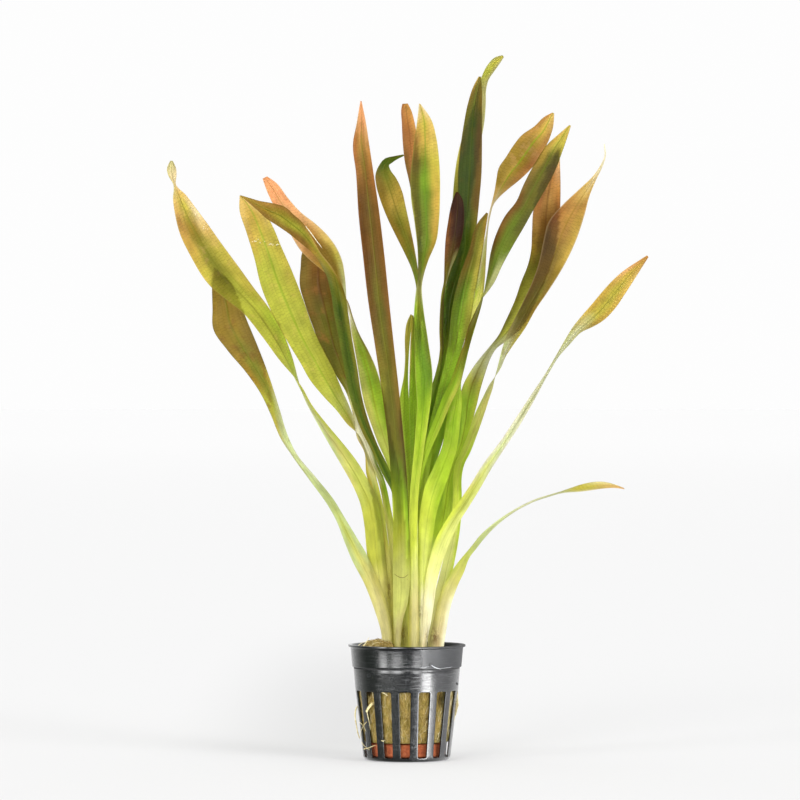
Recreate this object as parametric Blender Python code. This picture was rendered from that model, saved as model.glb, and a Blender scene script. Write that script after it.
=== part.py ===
"""Potted vallisneria: three plantlets of strap leaves, held by mineral wool in a slotted net pot.

Units are metres, +Z is up, and the origin is the centre of the pot's underside.
The plant is seen from the front when looking along +Y.
"""

import math

import bmesh
import bpy
import numpy as np
from mathutils import Vector

MM = 0.001

# ---------------------------------------------------------------- driving dimensions, mm
POT_TOP = 49.0
FLANGE_R = 25.0
COLLAR_R_TOP = 24.05
COLLAR_R_LOW = 23.3
COLLAR_Z = 39.6
BODY_R_TOP = 22.75
SLOT_TOP_Z = 29.6
SLOT_TOP_R = 21.9
SLOT_LOW_Z = 1.5
SLOT_LOW_R = 18.6
FOOT_R = 17.0
WALL = 0.9
FLOOR = 1.2
SLOTS = 16
SLOT_WIDE = 13.2  # degrees
SECTORS = 48
SLOT_PHASE = -2.2  # degrees that the front slot is turned to the left
FLOOR_HOLE_R = (8.0, 14.5)

CLAY_R_OUT = 16.2
CLAY_R_IN = 6.0
CLAY_Z = (1.65, 7.4)

GAP = 0.35  # between neighbouring solids
WOOL_Z = (7.8, 45.0)
WOOL_MOUND = 5.4

CROWN_TOP = 45.1
CROWN_LOW = 33.0
# name: centre x, centre y, half width in x, half width in y
CROWNS = {
    "crown_left": (-6.6, 0.4, 4.7, 6.0),
    "crown_middle": (4.5, 0.2, 4.7, 6.2),
    "crown_right": (13.1, 2.6, 3.1, 3.9),
}

LEAF_THICK = 0.62

# ---------------------------------------------------------------- front elevation
# The leaves are laid out on a front elevation. One unit is UNIT mm in the plane y = 0,
# u runs right and v runs down. The eye stands EYE_Y mm in front of the pot, EYE_Z high,
# so a point that lies deeper is drawn smaller.
EYE_X, EYE_Z, EYE_Y = -2.9, 153.0, 2084.0
FOCUS = 4893.0


def place(u, v, y):
    """The point in mm that the elevation shows at (u, v) and that lies y mm deep."""
    k = (EYE_Y + y) / FOCUS
    return Vector((EYE_X + (u - 400.0) * k, y, EYE_Z - (v - 400.0) * k))


# Each leaf is a list of rows from its tip to its base:
# (u1, v1, u2, v2, y, dy): the two margins in the elevation, the depth of the middle in
# mm, and how much deeper the second margin lies than the first. Where the margins
# change sides, the leaf is twisted.
LEAVES = {
    "leaf_left_front": [
        (360.4, 101, 361.6, 101, -34, 0),
        (356.7, 123, 366, 123, -32, 2),
        (353, 143, 369, 143, -30, 4),
        (356, 173, 373.5, 173, -27, 5),
        (358.5, 214, 379.5, 214, -23, 5),
        (363, 256, 384.5, 256, -19, 5),
        (368, 300, 389, 300, -16, 4),
        (375, 346, 394, 346, -13, 4),
        (383, 400, 400, 400, -10, 3),
        (387, 431, 403, 431, -9.2, 2),
        (390.5, 471, 406.5, 471, -8.2, 1),
        (393, 522, 409, 522, -7.0, 0),
        (393, 560, 410, 560, -6.6, 0),
        (393, 600, 408.3, 600, -5.9, 0),
        (393.5, 622, 402.6, 622, -4.7, 0),
        (394, 652, 400.3, 652, -4.2, 0),
    ],
    "leaf_left_low": [
        (213, 268, 215, 268, 34, 0),
        (212, 287, 231, 283, 32, -1),
        (212.5, 308, 239, 300, 30, -2),
        (213, 328, 246, 318, 28, -3),
        (228, 351, 256, 342, 25, -4),
        (245, 371, 264.5, 363.5, 22, -5),
        (260, 392.5, 272.5, 386.5, 19, -6),
        (270.5, 414, 279.8, 410, 15, -6),
        (280.5, 438, 287, 433.5, 12, -5.5),
        (291.5, 455, 295.6, 452, 9, -5),
        (311, 482, 316.5, 478, 5, -3),
        (327, 504, 334, 500, 3, -2.5),
        (336, 520, 344, 516.5, 0.6, -1.6),
        (345, 543, 357, 538, -1.6, -0.8),
        (352, 560, 366, 553, -2.6, -0.4),
        (364, 583, 377, 577, -2.8, 0),
        (374.5, 610, 387, 603, -3.0, 0),
        (381, 632, 392, 627, -3.0, 0),
        (382.8, 652, 393, 652, -2.9, 0),
    ],
    "leaf_left_outer": [
        (170.3, 160.7, 172.7, 160.7, 24, 0),
        (167, 168, 176, 168, 23.5, 1),
        (168.5, 176, 176.5, 176, 23, 2),
        (173.2, 184, 175.8, 184, 22.5, 3),
        (173, 199, 186, 195, 21.5, 3.5),
        (175, 214, 195, 207, 21, 4),
        (180, 234, 207, 223, 20, 5),
        (190, 255, 219, 240, 18.5, 5),
        (211, 287, 241, 270, 16, 6),
        (228, 301, 254, 288, 14.5, 7),
        (244, 314, 267, 305, 13, 7.5),
        (261, 335, 280, 326, 11.5, 8),
        (279, 359.5, 291, 353, 10, 8),
        (302.6, 388, 301.6, 390, 7.8, 8),
        (312, 405, 308.5, 406.5, 6.2, 7),
        (323.5, 420, 316, 421, 5, 6),
        (341, 441, 329, 444, 3.5, 5),
        (356, 460, 341, 464.5, 2, 3),
        (367.5, 479, 352, 484, 1, 2),
        (377.5, 499, 360, 503, -0.3, 1),
        (382, 522, 364, 523, -1.0, 0),
        (385, 553, 367, 554, -1.4, 0),
        (388, 582, 372, 582, -1.5, 0),
        (391, 610, 380, 611, -1.6, 0),
        (392.5, 635, 385, 635, -1.6, 0),
        (392.5, 652, 386, 652, -1.6, 0),
    ],
    "leaf_left_bright": [
        (239.6, 195.5, 241.6, 196.5, 14, 0),
        (239.5, 210, 260, 206, 13.5, 1),
        (246, 231, 272, 225, 13, 2),
        (254, 257, 281, 246, 12, 2.5),
        (261, 286, 292, 271, 11, 3),
        (272, 313, 303, 299, 9.5, 3.5),
        (289.5, 345, 316, 335, 8, 4),
        (301, 364, 326, 355, 7, 4.5),
        (310, 380, 335, 373, 6, 5),
        (324, 397, 343, 392, 5, 5.5),
        (337, 411, 350, 408, 4.3, 6),
        (348, 425, 355, 423, 3.8, 5),
        (358, 434, 356.3, 435.5, 3.3, 4),
        (367, 452, 364.6, 453, 2.7, 3.5),
        (374, 470, 366, 472, 1.8, 3),
        (379.5, 490, 371, 493, 1.0, 2),
        (384, 510, 375, 512, 0.6, 1),
        (388, 540, 379, 540, 0.2, 0),
        (392, 575, 383, 575, -0.1, 0),
        (394.5, 610, 386, 610, -0.3, 0),
        (396, 652, 388, 652, -0.3, 0),
    ],
    "leaf_left_drooping": [
        (240.0, 195.0, 241.4, 197.0, -16, 0),
        (250, 198, 247.5, 201.5, -15.5, 0),
        (259, 200.7, 256, 209, -15, 1),
        (273, 203.3, 267, 219, -14, 2),
        (285, 207, 277, 225.5, -13, 3),
        (294, 215, 288, 233, -12, 4),
        (302, 222, 297, 240, -11, 5),
        (309, 232, 305, 246.5, -10, 6),
        (315, 243, 312, 252.5, -9, 7),
        (321.5, 254, 318, 260, -8, 7),
        (330, 264.5, 321.5, 266.5, -7.5, 7),
        (338, 277, 326, 275, -7, 6),
        (345, 294, 330, 290, -6, 4),
        (348.5, 315, 334, 315, -5, 3),
        (352, 338, 338.5, 338, -4, 2),
        (357, 366, 343.5, 366, -3, 2),
        (362, 397, 350, 397, -2.3, 2),
        (372, 431, 363, 434, -1.3, 1.5),
        (379, 448, 372, 451, -0.7, 1.2),
        (386, 462, 379, 467, -0.2, 1),
        (391, 473, 385, 479, 0.2, 0.8),
        (397.5, 486, 391, 490, 0.5, 0.5),
        (401, 505, 393.5, 506, 0.8, 0),
        (402, 530, 394, 530, 1.0, 0),
        (401, 560, 393, 560, 1.0, 0),
        (400, 600, 392, 600, 1.0, 0),
        (398, 652, 391, 652, 1.0, 0),
    ],
    "leaf_left_salmon": [
        (267, 176.3, 262.5, 178.7, 20, 0),
        (276, 182.5, 266.5, 190, 19.5, 1),
        (288, 198, 274, 206, 18.5, 2),
        (300, 211.5, 283, 221, 17.5, 3),
        (317, 225, 292, 237, 16, 4),
        (329, 237, 301, 251, 14.5, 5),
        (337.5, 249.5, 312, 262, 13, 6),
        (342.5, 262, 323, 271, 12, 7),
        (344.7, 275, 333, 281, 11, 8),
        (346, 289, 342, 293, 10, 8),
        (346.6, 302, 347.8, 301, 9.5, 7),
        (349, 314, 353, 317, 9, 6),
        (351, 330, 359, 333, 8.5, 5),
        (354, 346, 368, 350, 8, 3.5),
        (357.5, 366, 376, 368, 7, 2.5),
        (361, 388, 382, 388, 6, 2),
        (365.5, 408, 386, 408, 5, 1),
        (371, 424, 389, 424, 4.5, 1),
        (378, 443, 393, 443, 3.8, 0.5),
        (385, 459, 397, 459, 3.2, 0),
        (391, 476, 401, 476, 2.8, 0),
        (395, 500, 403, 500, 2.5, 0),
        (397, 540, 406, 540, 2.3, 0),
        (399, 580, 408, 580, 2.3, 0),
        (400, 610, 408.6, 610, 2.3, 0),
        (400.5, 630, 408.6, 630, 2.3, 0),
        (400.5, 652, 408.4, 652, 2.3, 0),
    ],
    "leaf_left_brown": [
        (312, 236, 314.5, 236, 26, 0),
        (303, 250, 330, 246, 24, 1),
        (300.5, 268, 336, 262, 22, 1),
        (300, 287, 338, 284, 20, 1),
        (305, 304, 341, 300, 18, 1),
        (313, 327, 344, 322, 16, 2),
        (321, 347, 346, 343, 14.5, 2),
        (329, 361, 348, 358, 13.5, 2),
        (337, 377, 351, 375, 12.5, 2),
        (345, 390, 354, 389, 11.5, 2),
        (350.5, 405, 357, 404, 10.5, 2),
        (356, 430, 362.5, 428, 9, 2),
        (363, 447, 371, 446, 8, 1),
        (369, 465, 377.5, 464, 7, 1),
        (377, 478, 383.5, 477, 6.2, 1),
        (380.5, 490, 387, 489, 5.4, 0.5),
        (383, 504, 390, 504, 4.8, 0),
        (387, 530, 395, 530, 4.2, 0),
        (390, 560, 399, 560, 3.8, 0),
        (392, 600, 401, 600, 3.6, 0),
        (392, 652, 399, 652, 3.6, 0),
    ],
    "leaf_middle_yellow": [
        (419, 103.5, 420.6, 104, -14, 0),
        (417.3, 120, 431, 119, -13.5, 1),
        (415, 137, 436, 136, -13, 2),
        (413, 153, 438.5, 153, -12.5, 2),
        (410.5, 176, 440, 176, -12, 3),
        (411, 197, 440, 196, -11.5, 3),
        (414.5, 222, 439, 221, -11, 3),
        (417, 243, 436, 242, -10.5, 3),
        (418.5, 260, 428.5, 260, -10.2, 4),
        (418.8, 273, 424.3, 273, -10, 4),
        (416.5, 287, 421.8, 287, -9.8, 3),
        (415, 300, 422.5, 300, -9.5, 2),
        (414, 313, 424, 313, -9.2, 2),
        (414.5, 340, 428, 340, -8.6, 2),
        (415.5, 380, 432.5, 380, -8, 2),
        (417, 400, 431, 400, -7.7, 1.5),
        (415.5, 430, 427, 430, -7.1, 1),
        (413, 461, 422.5, 461, -6.5, 0.5),
        (410, 492, 418.7, 492, -6, 0),
        (409, 522, 417.7, 522, -5.6, 0),
        (409, 560, 418, 560, -5.3, 0),
        (409.5, 600, 418.5, 600, -5.1, 0),
        (409, 640, 418.8, 640, -4.9, 0),
        (409.2, 652, 418.6, 652, -4.9, 0),
    ],
    "leaf_middle_hooked": [
        (403.4, 154.4, 404.2, 155.8, 2, 0),
        (394, 156.1, 396.5, 159.7, 1.5, 1),
        (384, 159, 391.5, 163.3, 1, 2),
        (377.6, 168, 388.9, 165.7, 0.3, 3),
        (375.3, 175.5, 391, 171, -0.4, 2.5),
        (376, 184, 395.5, 177, -0.6, 2),
        (380, 199, 402, 191, -0.4, 2),
        (386.5, 216, 406, 208, -0.2, 2.5),
        (396, 236, 411, 231, 0, 3),
        (405, 254, 415, 251, 0.2, 3),
        (412, 270, 418, 269, 0.3, 3),
        (416, 286, 420, 286, 0.4, 2.5),
        (416.5, 310, 421.5, 310, 0.5, 2),
        (415, 350, 421, 350, 0.5, 1.5),
        (413, 400, 420, 400, 0.4, 1),
        (410, 450, 418, 450, 0.2, 0),
        (408.5, 500, 417, 500, 0.1, 0),
        (408.5, 600, 417, 600, 0, 0),
        (409, 652, 416, 652, 0, 0),
    ],
    "leaf_middle_blunt": [
        (402.3, 103.8, 407.7, 103.4, 16, 0),
        (401.4, 108, 410, 107.5, 16, 0.5),
        (401.8, 123, 414.5, 122, 15.5, 1),
        (402.8, 143, 417.5, 142, 14.5, 2),
        (405, 163, 419.5, 162, 13.5, 2),
        (409, 181, 420, 180, 12.5, 2),
        (412.5, 200, 421, 200, 11.5, 2),
        (415.5, 225, 421.5, 225, 10, 2),
        (417.6, 250, 422, 250, 9, 1.5),
        (418, 285, 421, 285, 7.5, 1),
        (417, 330, 421, 330, 5.5, 1),
        (415, 380, 420, 380, 4, 1),
        (412, 430, 418, 430, 2.8, 0.5),
        (409.5, 480, 416.5, 480, 2, 0),
        (408.5, 540, 416, 540, 1.5, 0),
        (408.5, 600, 416.5, 600, 1.3, 0),
        (409, 652, 416, 652, 1.2, 0),
    ],
    "leaf_middle_short_left": [
        (410.4, 314.3, 412, 314.6, -3.6, 0),
        (407, 322, 411.9, 322, -3.5, 1),
        (405, 335, 410.4, 336, -3.4, 1),
        (405, 360, 408.6, 360, -3.2, 1),
        (403.5, 378, 408.1, 378, -3, 1),
        (400, 396, 408.8, 396, -2.6, 1),
        (400, 420, 410.3, 420, -2.2, 1),
        (402.5, 445, 411.5, 445, -1.9, 0.5),
        (405, 471, 413, 471, -1.6, 0),
        (407, 495, 414, 495, -1.4, 0),
        (408, 530, 415, 530, -1.3, 0),
        (408.5, 600, 416, 600, -1.2, 0),
        (409, 652, 416, 652, -1.2, 0),
    ],
    "leaf_middle_short_right": [
        (411.8, 315.2, 413.4, 315.4, -5, 0),
        (411.3, 325, 415.3, 325, -5, 1),
        (410.3, 344, 416, 344, -4.8, 1),
        (409.8, 362, 416.3, 362, -4.5, 1),
        (409.3, 380, 417, 380, -4.2, 1),
        (408.9, 400, 418.5, 400, -3.9, 1),
        (409.3, 420, 419.5, 420, -3.6, 0.5),
        (410.2, 445, 419.5, 445, -3.3, 0),
        (410.5, 471, 418.5, 471, -2.9, 0),
        (409, 500, 417, 500, -2.7, 0),
        (408.5, 560, 416.5, 560, -2.5, 0),
        (409, 652, 416, 652, -2.4, 0),
    ],
    "leaf_middle_tall": [
        (478.6, 76.5, 481, 76.5, 8, 0),
        (473.5, 86, 481.8, 87, 7.8, 1),
        (468, 103, 482, 104, 7.5, 2),
        (463.5, 126, 482, 127, 7, 3),
        (460.3, 148, 482, 149, 6.5, 3),
        (458, 173, 481.5, 174, 6, 3),
        (457.7, 197, 479.5, 198, 5.5, 3),
        (457.5, 222, 477, 223, 5, 3),
        (456.5, 248, 474, 249, 4.5, 3),
        (450.5, 270, 468, 272, 4, 2),
        (445, 288, 463, 290, 3.6, 2),
        (441, 303, 460, 305, 3.3, 2),
        (440, 325, 458, 327, 2.9, 2),
        (440.5, 350, 457, 352, 2.5, 1),
        (436.5, 369, 453, 371, 2.1, 1),
        (431, 390, 450, 392, 1.8, 1),
        (426, 412, 448, 414, 1.5, 1),
        (422, 435, 444, 437, 1.2, 0.5),
        (419, 460, 437, 461, 0.9, 0),
        (418, 490, 431, 491, 0.7, 0),
        (418, 530, 429, 530, 0.5, 0),
        (418, 600, 427.5, 600, 0.4, 0),
        (419, 652, 426, 652, 0.4, 0),
    ],
    "leaf_middle_curled": [
        (502.3, 55.1, 504, 56.9, 34, 0),
        (495.5, 57, 500.5, 62.5, 33.5, 1),
        (487.5, 65, 494.5, 71, 33, 2),
        (482.5, 74.5, 488.8, 79.5, 32, 3),
        (478.5, 86, 486.3, 89, 31, 3),
        (475, 103, 485.8, 104, 29.5, 3),
        (468, 122, 484.2, 123, 28, 4),
        (461.5, 140, 481, 141, 26.5, 4),
        (456.8, 160, 478, 161, 25, 4),
        (454, 181, 474, 182, 23, 4),
        (452.5, 200, 470.5, 201, 21, 4),
        (450, 225, 465.5, 226, 18.5, 4),
        (448, 250, 462, 251, 16, 3),
        (447, 275, 459, 276, 14, 3),
        (446, 300, 456, 301, 12, 2),
        (443, 340, 453, 341, 9, 2),
        (438, 380, 448, 381, 6.5, 1),
        (428, 420, 438, 421, 4.5, 1),
        (422, 460, 431, 461, 3, 0),
        (419, 500, 428, 500, 2.2, 0),
        (418.5, 560, 427, 560, 1.7, 0),
        (419, 652, 426, 652, 1.6, 0),
    ],
    "leaf_middle_red": [
        (456, 192, 458.2, 192, -3, 0),
        (453, 199, 462.5, 199, -3, 1),
        (450.5, 208, 464, 208, -3, 1.5),
        (448, 222, 464, 222, -3, 2),
        (445.7, 238, 461.5, 240, -3, 3),
        (444.6, 255, 456, 257, -2.8, 4),
        (444.2, 270, 450, 271, -2.6, 5),
        (443.6, 283, 446, 284, -2.4, 5),
        (441.5, 293, 444.5, 293, -2.2, 4.5),
        (440, 310, 443.8, 310, -1.8, 4),
        (439.3, 330, 443.2, 330, -1.4, 3.5),
        (439.8, 350, 443.6, 350, -1, 3),
        (437, 368, 441.5, 368, -0.8, 2),
        (431, 388, 437.5, 388, -0.7, 1),
        (426, 410, 433.5, 410, -0.7, 1),
        (422, 435, 430, 435, -0.7, 0),
        (419.5, 465, 427.5, 465, -0.8, 0),
        (418, 500, 426.5, 500, -0.8, 0),
        (418, 560, 426.5, 560, -0.8, 0),
        (419, 652, 426, 652, -0.8, 0),
    ],
    "leaf_middle_lime": [
        (486.3, 212.5, 488.2, 213.5, 1, 0),
        (479, 221, 487.3, 219, 0.8, 1),
        (474, 231, 485.5, 231, 0.5, 1),
        (470, 247, 483, 248, 0.2, 1),
        (464.5, 262, 480.5, 263, 0, 1),
        (459, 278, 477.5, 280, -0.2, 1),
        (455, 293, 474.5, 294, -0.4, 1),
        (451, 315, 471, 317, -0.7, 1),
        (449, 335, 465.5, 337, -1, 1),
        (446, 355, 459.5, 357, -1.3, 1),
        (441, 378, 452, 380, -1.6, 1),
        (434, 405, 443.5, 407, -2, 1),
        (428, 430, 437, 432, -2.2, 1),
        (423, 455, 432, 456, -2.3, 0.5),
        (420, 480, 428, 481, -2.3, 0),
        (418, 515, 426.5, 515, -2.2, 0),
        (418, 560, 427, 560, -2.1, 0),
        (418.5, 600, 427, 600, -2, 0),
        (419, 652, 426, 652, -2, 0),
    ],
    "leaf_middle_green": [
        (569.2, 125, 571, 125.6, 6, 0),
        (560, 133, 567.5, 137, 5, 1),
        (546, 146, 561.5, 154, 3.5, 2),
        (535, 163, 555, 171, 2, 3),
        (523, 186, 543, 193.5, 0, 3),
        (516.5, 201, 534, 209, -1, 4),
        (505, 216, 524, 227, -2.5, 4),
        (497, 232, 514, 244, -3.5, 5),
        (491, 251, 503, 264, -4.5, 6),
        (487.5, 272, 494, 283, -5.5, 6.5),
        (484.8, 288, 487.3, 292.5, -6, 6),
        (482.3, 302, 480.8, 300.5, -6.5, 5.5),
        (478.5, 316, 474, 314, -7, 5),
        (473.5, 331, 467.5, 329, -7.3, 5),
        (470, 345, 464, 343, -7.6, 4.5),
        (465, 364, 457.5, 361, -8, 4),
        (461, 382, 451, 379, -8, 3.5),
        (450.5, 405, 441, 401, -7.6, 3),
        (441.5, 426, 433, 422, -6.8, 2),
        (430, 452, 423, 449, -5.6, 1),
        (423, 474, 417, 472, -4.8, 0.5),
        (418.5, 500, 412.5, 500, -4.3, 0),
        (416, 540, 410.5, 540, -3.9, 0),
        (415.5, 600, 410, 600, -3.7, 0),
        (415.5, 652, 410.5, 652, -3.7, 0),
    ],
    "leaf_middle_gold": [
        (552.3, 112.5, 554.2, 113.5, 22, 0),
        (544, 117, 553.6, 124, 21, 1),
        (534.7, 126, 550.5, 136, 20, 2),
        (521.5, 135.4, 544, 150, 18.5, 2),
        (513, 146, 538, 160.5, 17, 3),
        (506, 157, 530, 170, 15.5, 3),
        (498.5, 168.5, 519.5, 180, 14, 4),
        (496.3, 180, 509, 188.5, 13, 5),
        (494.3, 192, 500, 196.5, 12, 6),
        (491.5, 203.5, 493.3, 205, 11, 6),
        (488.2, 217, 489.9, 217.5, 9.5, 5),
        (485.7, 235, 487.6, 235, 8, 4),
        (480.5, 255, 486.3, 255, 6.5, 3),
        (477, 280, 484.8, 280, 5, 3),
        (473.5, 300, 482.5, 300, 4, 3),
        (469.8, 320, 477, 321, 2.6, 2),
        (465, 345, 469.7, 346, 1, 2),
        (459.5, 365, 465, 366, -0.5, 2),
        (455, 383, 461, 384, -1.6, 1.5),
        (450.5, 400, 462, 402, -2.4, 1),
        (446.5, 418, 460.5, 420, -3, 1),
        (441.5, 448, 456.5, 451, -3.6, 1),
        (433, 468, 450, 472, -3.8, 1),
        (426, 483, 445, 487, -3.9, 1),
        (420.5, 508, 437, 512, -3.9, 0.5),
        (418.2, 530, 433.4, 532, -3.7, 0),
        (418, 545, 431.4, 546, -3.5, 0),
        (417.8, 560, 430, 560, -3.4, 0),
        (417.6, 600, 428.4, 600, -3.3, 0),
        (417.4, 652, 426, 652, -3.3, 0),
    ],
    "leaf_middle_rust": [
        (557.6, 150, 559.8, 150, 34, 0),
        (549, 165, 560, 163, 33.5, 1),
        (542, 180, 560.5, 180, 33, 2),
        (536, 196, 560.5, 197, 32, 3),
        (533, 213, 560, 214, 31, 4),
        (532, 232, 558.5, 234, 29.5, 4),
        (531, 251, 554.5, 254, 28, 4),
        (527.5, 266, 549, 271, 26.5, 4),
        (521.5, 281, 542.5, 287, 25, 4),
        (515, 300, 533.5, 307, 23, 4),
        (506, 320, 522, 327, 21, 5),
        (498, 336, 508, 340, 19, 6),
        (490, 346, 497, 348, 17.5, 6),
        (480, 358, 490.5, 358.5, 16, 5),
        (470, 372, 485.3, 373, 14.5, 3),
        (462, 388, 480, 391, 13, 2),
        (459, 402, 477, 404, 12, 1),
        (459.5, 420, 472.5, 421, 11.2, 1),
        (457, 440, 467, 441, 10.5, 1),
        (450, 460, 461, 461, 9.6, 1),
        (443, 480, 455.5, 481, 8.7, 0.5),
        (438, 505, 453.5, 506, 7.9, 0),
        (432.5, 530, 450, 531, 6.8, 0),
        (428.5, 556, 442.5, 557, 5.8, 0),
        (426, 580, 437.5, 580, 4.4, 0),
        (421.5, 610, 430, 610, 3.0, 0),
        (420.5, 652, 426.5, 652, 2.7, 0),
    ],
    "leaf_middle_wide": [
        (647, 255.3, 648.6, 257, -32, 0),
        (638, 261, 643.5, 265, -31, 1),
        (624.5, 270, 636, 277, -29.5, 2),
        (612, 281, 625, 294, -28, 3),
        (602, 292, 615.5, 308, -26.5, 3),
        (592, 304, 604, 320, -25, 4),
        (582, 315.5, 592.5, 327, -23.5, 4),
        (573.5, 326, 581, 332.5, -22, 4),
        (566, 338, 570, 344, -20.5, 4),
        (556.3, 355, 558.6, 357, -19, 3.5),
        (546.6, 371.5, 548.9, 373, -17.5, 3),
        (529, 398, 533.5, 401.5, -15, 2),
        (515, 419.5, 520.5, 424, -13.3, 2),
        (499.5, 442.5, 505.5, 447, -11.7, 2),
        (484, 463, 491.5, 468.5, -10.2, 2),
        (470.5, 484.5, 479.5, 489.5, -8.8, 1),
        (458, 503, 467.5, 509, -7.6, 1),
        (451.4, 512, 461.6, 518, -7, 0.5),
        (443, 525.5, 455.5, 530, -6.3, 0),
        (437, 536, 450.4, 541, -5.9, 0),
        (433, 547, 446, 552, -5.6, 0),
        (428.8, 562, 441.8, 564, -5.3, 0),
        (425.6, 578, 437.5, 580, -5, 0),
        (424, 599, 434.5, 600, -4.8, 0),
        (422.5, 621, 431.3, 621, -4.7, 0),
        (420.5, 643, 427, 643, -4.6, 0),
        (420, 652, 426, 652, -4.6, 0),
    ],
    "leaf_right_hair_tip": [
        (603.6, 144, 605, 144, 22, 0),
        (604.4, 156, 605.9, 156, 21.5, 0.3),
        (600.4, 165.3, 602.2, 167.2, 21, 0.5),
        (593.5, 175.5, 596.5, 179, 20.5, 1),
        (579.5, 189, 589.5, 196, 19.5, 2),
        (562, 205.5, 584.5, 215, 18.5, 3),
        (548.5, 222, 577, 238, 17.5, 4),
        (543, 243, 567.5, 259, 16.5, 4),
        (539, 262, 558.5, 275, 15.5, 4),
        (533, 280, 548, 291.5, 14.5, 4),
        (524, 300, 536, 309, 13.5, 4),
        (514, 320, 525, 328.5, 12.5, 4),
        (506, 337, 514, 344, 11.5, 5),
        (501.5, 351, 505.5, 357, 11, 5),
        (497.5, 367, 500, 369.5, 10.3, 4.5),
        (495.2, 376, 494, 378, 10, 4),
        (493.5, 385, 490, 383.5, 9.5, 3.5),
        (488.5, 401, 482, 399, 9, 3),
        (483, 418, 474, 416, 8.4, 3),
        (477, 435, 468.5, 433, 7.8, 3),
        (470, 453, 461, 451, 7.3, 3),
        (464.5, 464, 455.5, 463, 6.9, 2.5),
        (461.8, 477, 453, 477, 6.6, 2),
        (461.8, 495, 453, 495, 6.2, 1),
        (461.3, 515, 452, 515, 5.7, 0),
        (458.5, 540, 448.5, 540, 5.2, 0),
        (455.5, 557, 444, 557, 4.9, 0),
        (451.5, 576, 439.5, 575, 4.6, 0),
        (445.5, 600, 433.5, 600, 4.5, 0),
        (441, 625, 429.2, 625, 4.5, 0),
        (439, 652, 427.6, 652, 4.5, 0),
    ],
    "leaf_right_arching": [
        (623.6, 487.8, 624.9, 489.3, -22, 0),
        (615, 484.5, 615, 487.9, -21, -1),
        (604, 481.8, 602.5, 488.6, -20, -3),
        (593, 482, 591, 490.3, -19, -4),
        (580.5, 484.6, 579, 491.8, -18, -4),
        (568, 488.8, 567, 492.5, -17, -3),
        (558.5, 492, 558.3, 493.7, -16, -2.5),
        (551, 494.2, 551.3, 495.8, -15.2, -2.5),
        (534.3, 499.5, 534.9, 501.2, -13.2, -2.5),
        (518.7, 507, 519.5, 508.8, -11.3, -2.5),
        (503.5, 516.2, 505, 518.6, -9.4, -2.5),
        (490, 526.3, 492.5, 529.5, -7.6, -2),
        (479.5, 536, 483, 540, -6, -2),
        (472, 545.5, 476, 549, -4.8, -1.5),
        (464, 555, 469.3, 558, -3.6, -1),
        (456.3, 564.5, 464, 572, -2.4, 0),
        (448.8, 576, 458.4, 584, -1.3, 0),
        (442, 590, 453.2, 598, -0.3, 0),
        (437.4, 605, 449.6, 611, 0.4, 0),
        (433, 622, 447, 626, 0.8, 0),
        (429.8, 640, 444.6, 641, 1, 0),
        (429, 652, 443, 652, 1, 0),
    ],
}

# The two larger roots that come out of the pot's slots: radius and points, mm
ROOTS = {
    "root_long": (0.36, [(-20.7, 0.4, 22.6), (-21.6, -0.4, 21.6), (-22.0, -0.9, 18.6),
                         (-21.5, -0.7, 14.6), (-20.9, -0.2, 11.4), (-20.1, 0.3, 8.8)]),
    "root_stub": (0.62, [(-14.9, -15.2, 24.3), (-15.7, -15.9, 23.5),
                         (-16.5, -16.2, 22.4), (-17.1, -15.9, 21.1)]),
}


# ---------------------------------------------------------------- helpers
def material(name, colour, roughness, metallic=0.0):
    mat = bpy.data.materials.new(name)
    mat.use_nodes = True
    shader = mat.node_tree.nodes["Principled BSDF"]
    shader.inputs["Base Color"].default_value = (*colour, 1.0)
    shader.inputs["Roughness"].default_value = roughness
    shader.inputs["Metallic"].default_value = metallic
    mat.diffuse_color = (*colour, 1.0)
    return mat


def add_object(name, bm, mat, smooth=True):
    bmesh.ops.recalc_face_normals(bm, faces=bm.faces)
    if bm.calc_volume(signed=True) < 0:
        bmesh.ops.reverse_faces(bm, faces=bm.faces)
    mesh = bpy.data.meshes.new(name)
    bm.to_mesh(mesh)
    bm.free()
    if smooth:
        mesh.shade_smooth()
        mesh.set_sharp_from_angle(angle=math.radians(40))
    mesh.materials.append(mat)
    obj = bpy.data.objects.new(name, mesh)
    bpy.context.scene.collection.objects.link(obj)
    return obj


def ring(bm, radius, z, count, phase=0.0, cx=0.0, cy=0.0, ry=None):
    ry = radius if ry is None else ry
    out = []
    for i in range(count):
        a = math.radians(phase + 360.0 * i / count)
        out.append(bm.verts.new(((cx + radius * math.cos(a)) * MM,
                                 (cy + ry * math.sin(a)) * MM, z * MM)))
    return out


def band(bm, lower, upper, keep=lambda i: True):
    n = len(lower)
    for i in range(n):
        if keep(i):
            j = (i + 1) % n
            bm.faces.new((lower[i], lower[j], upper[j], upper[i]))


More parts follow.
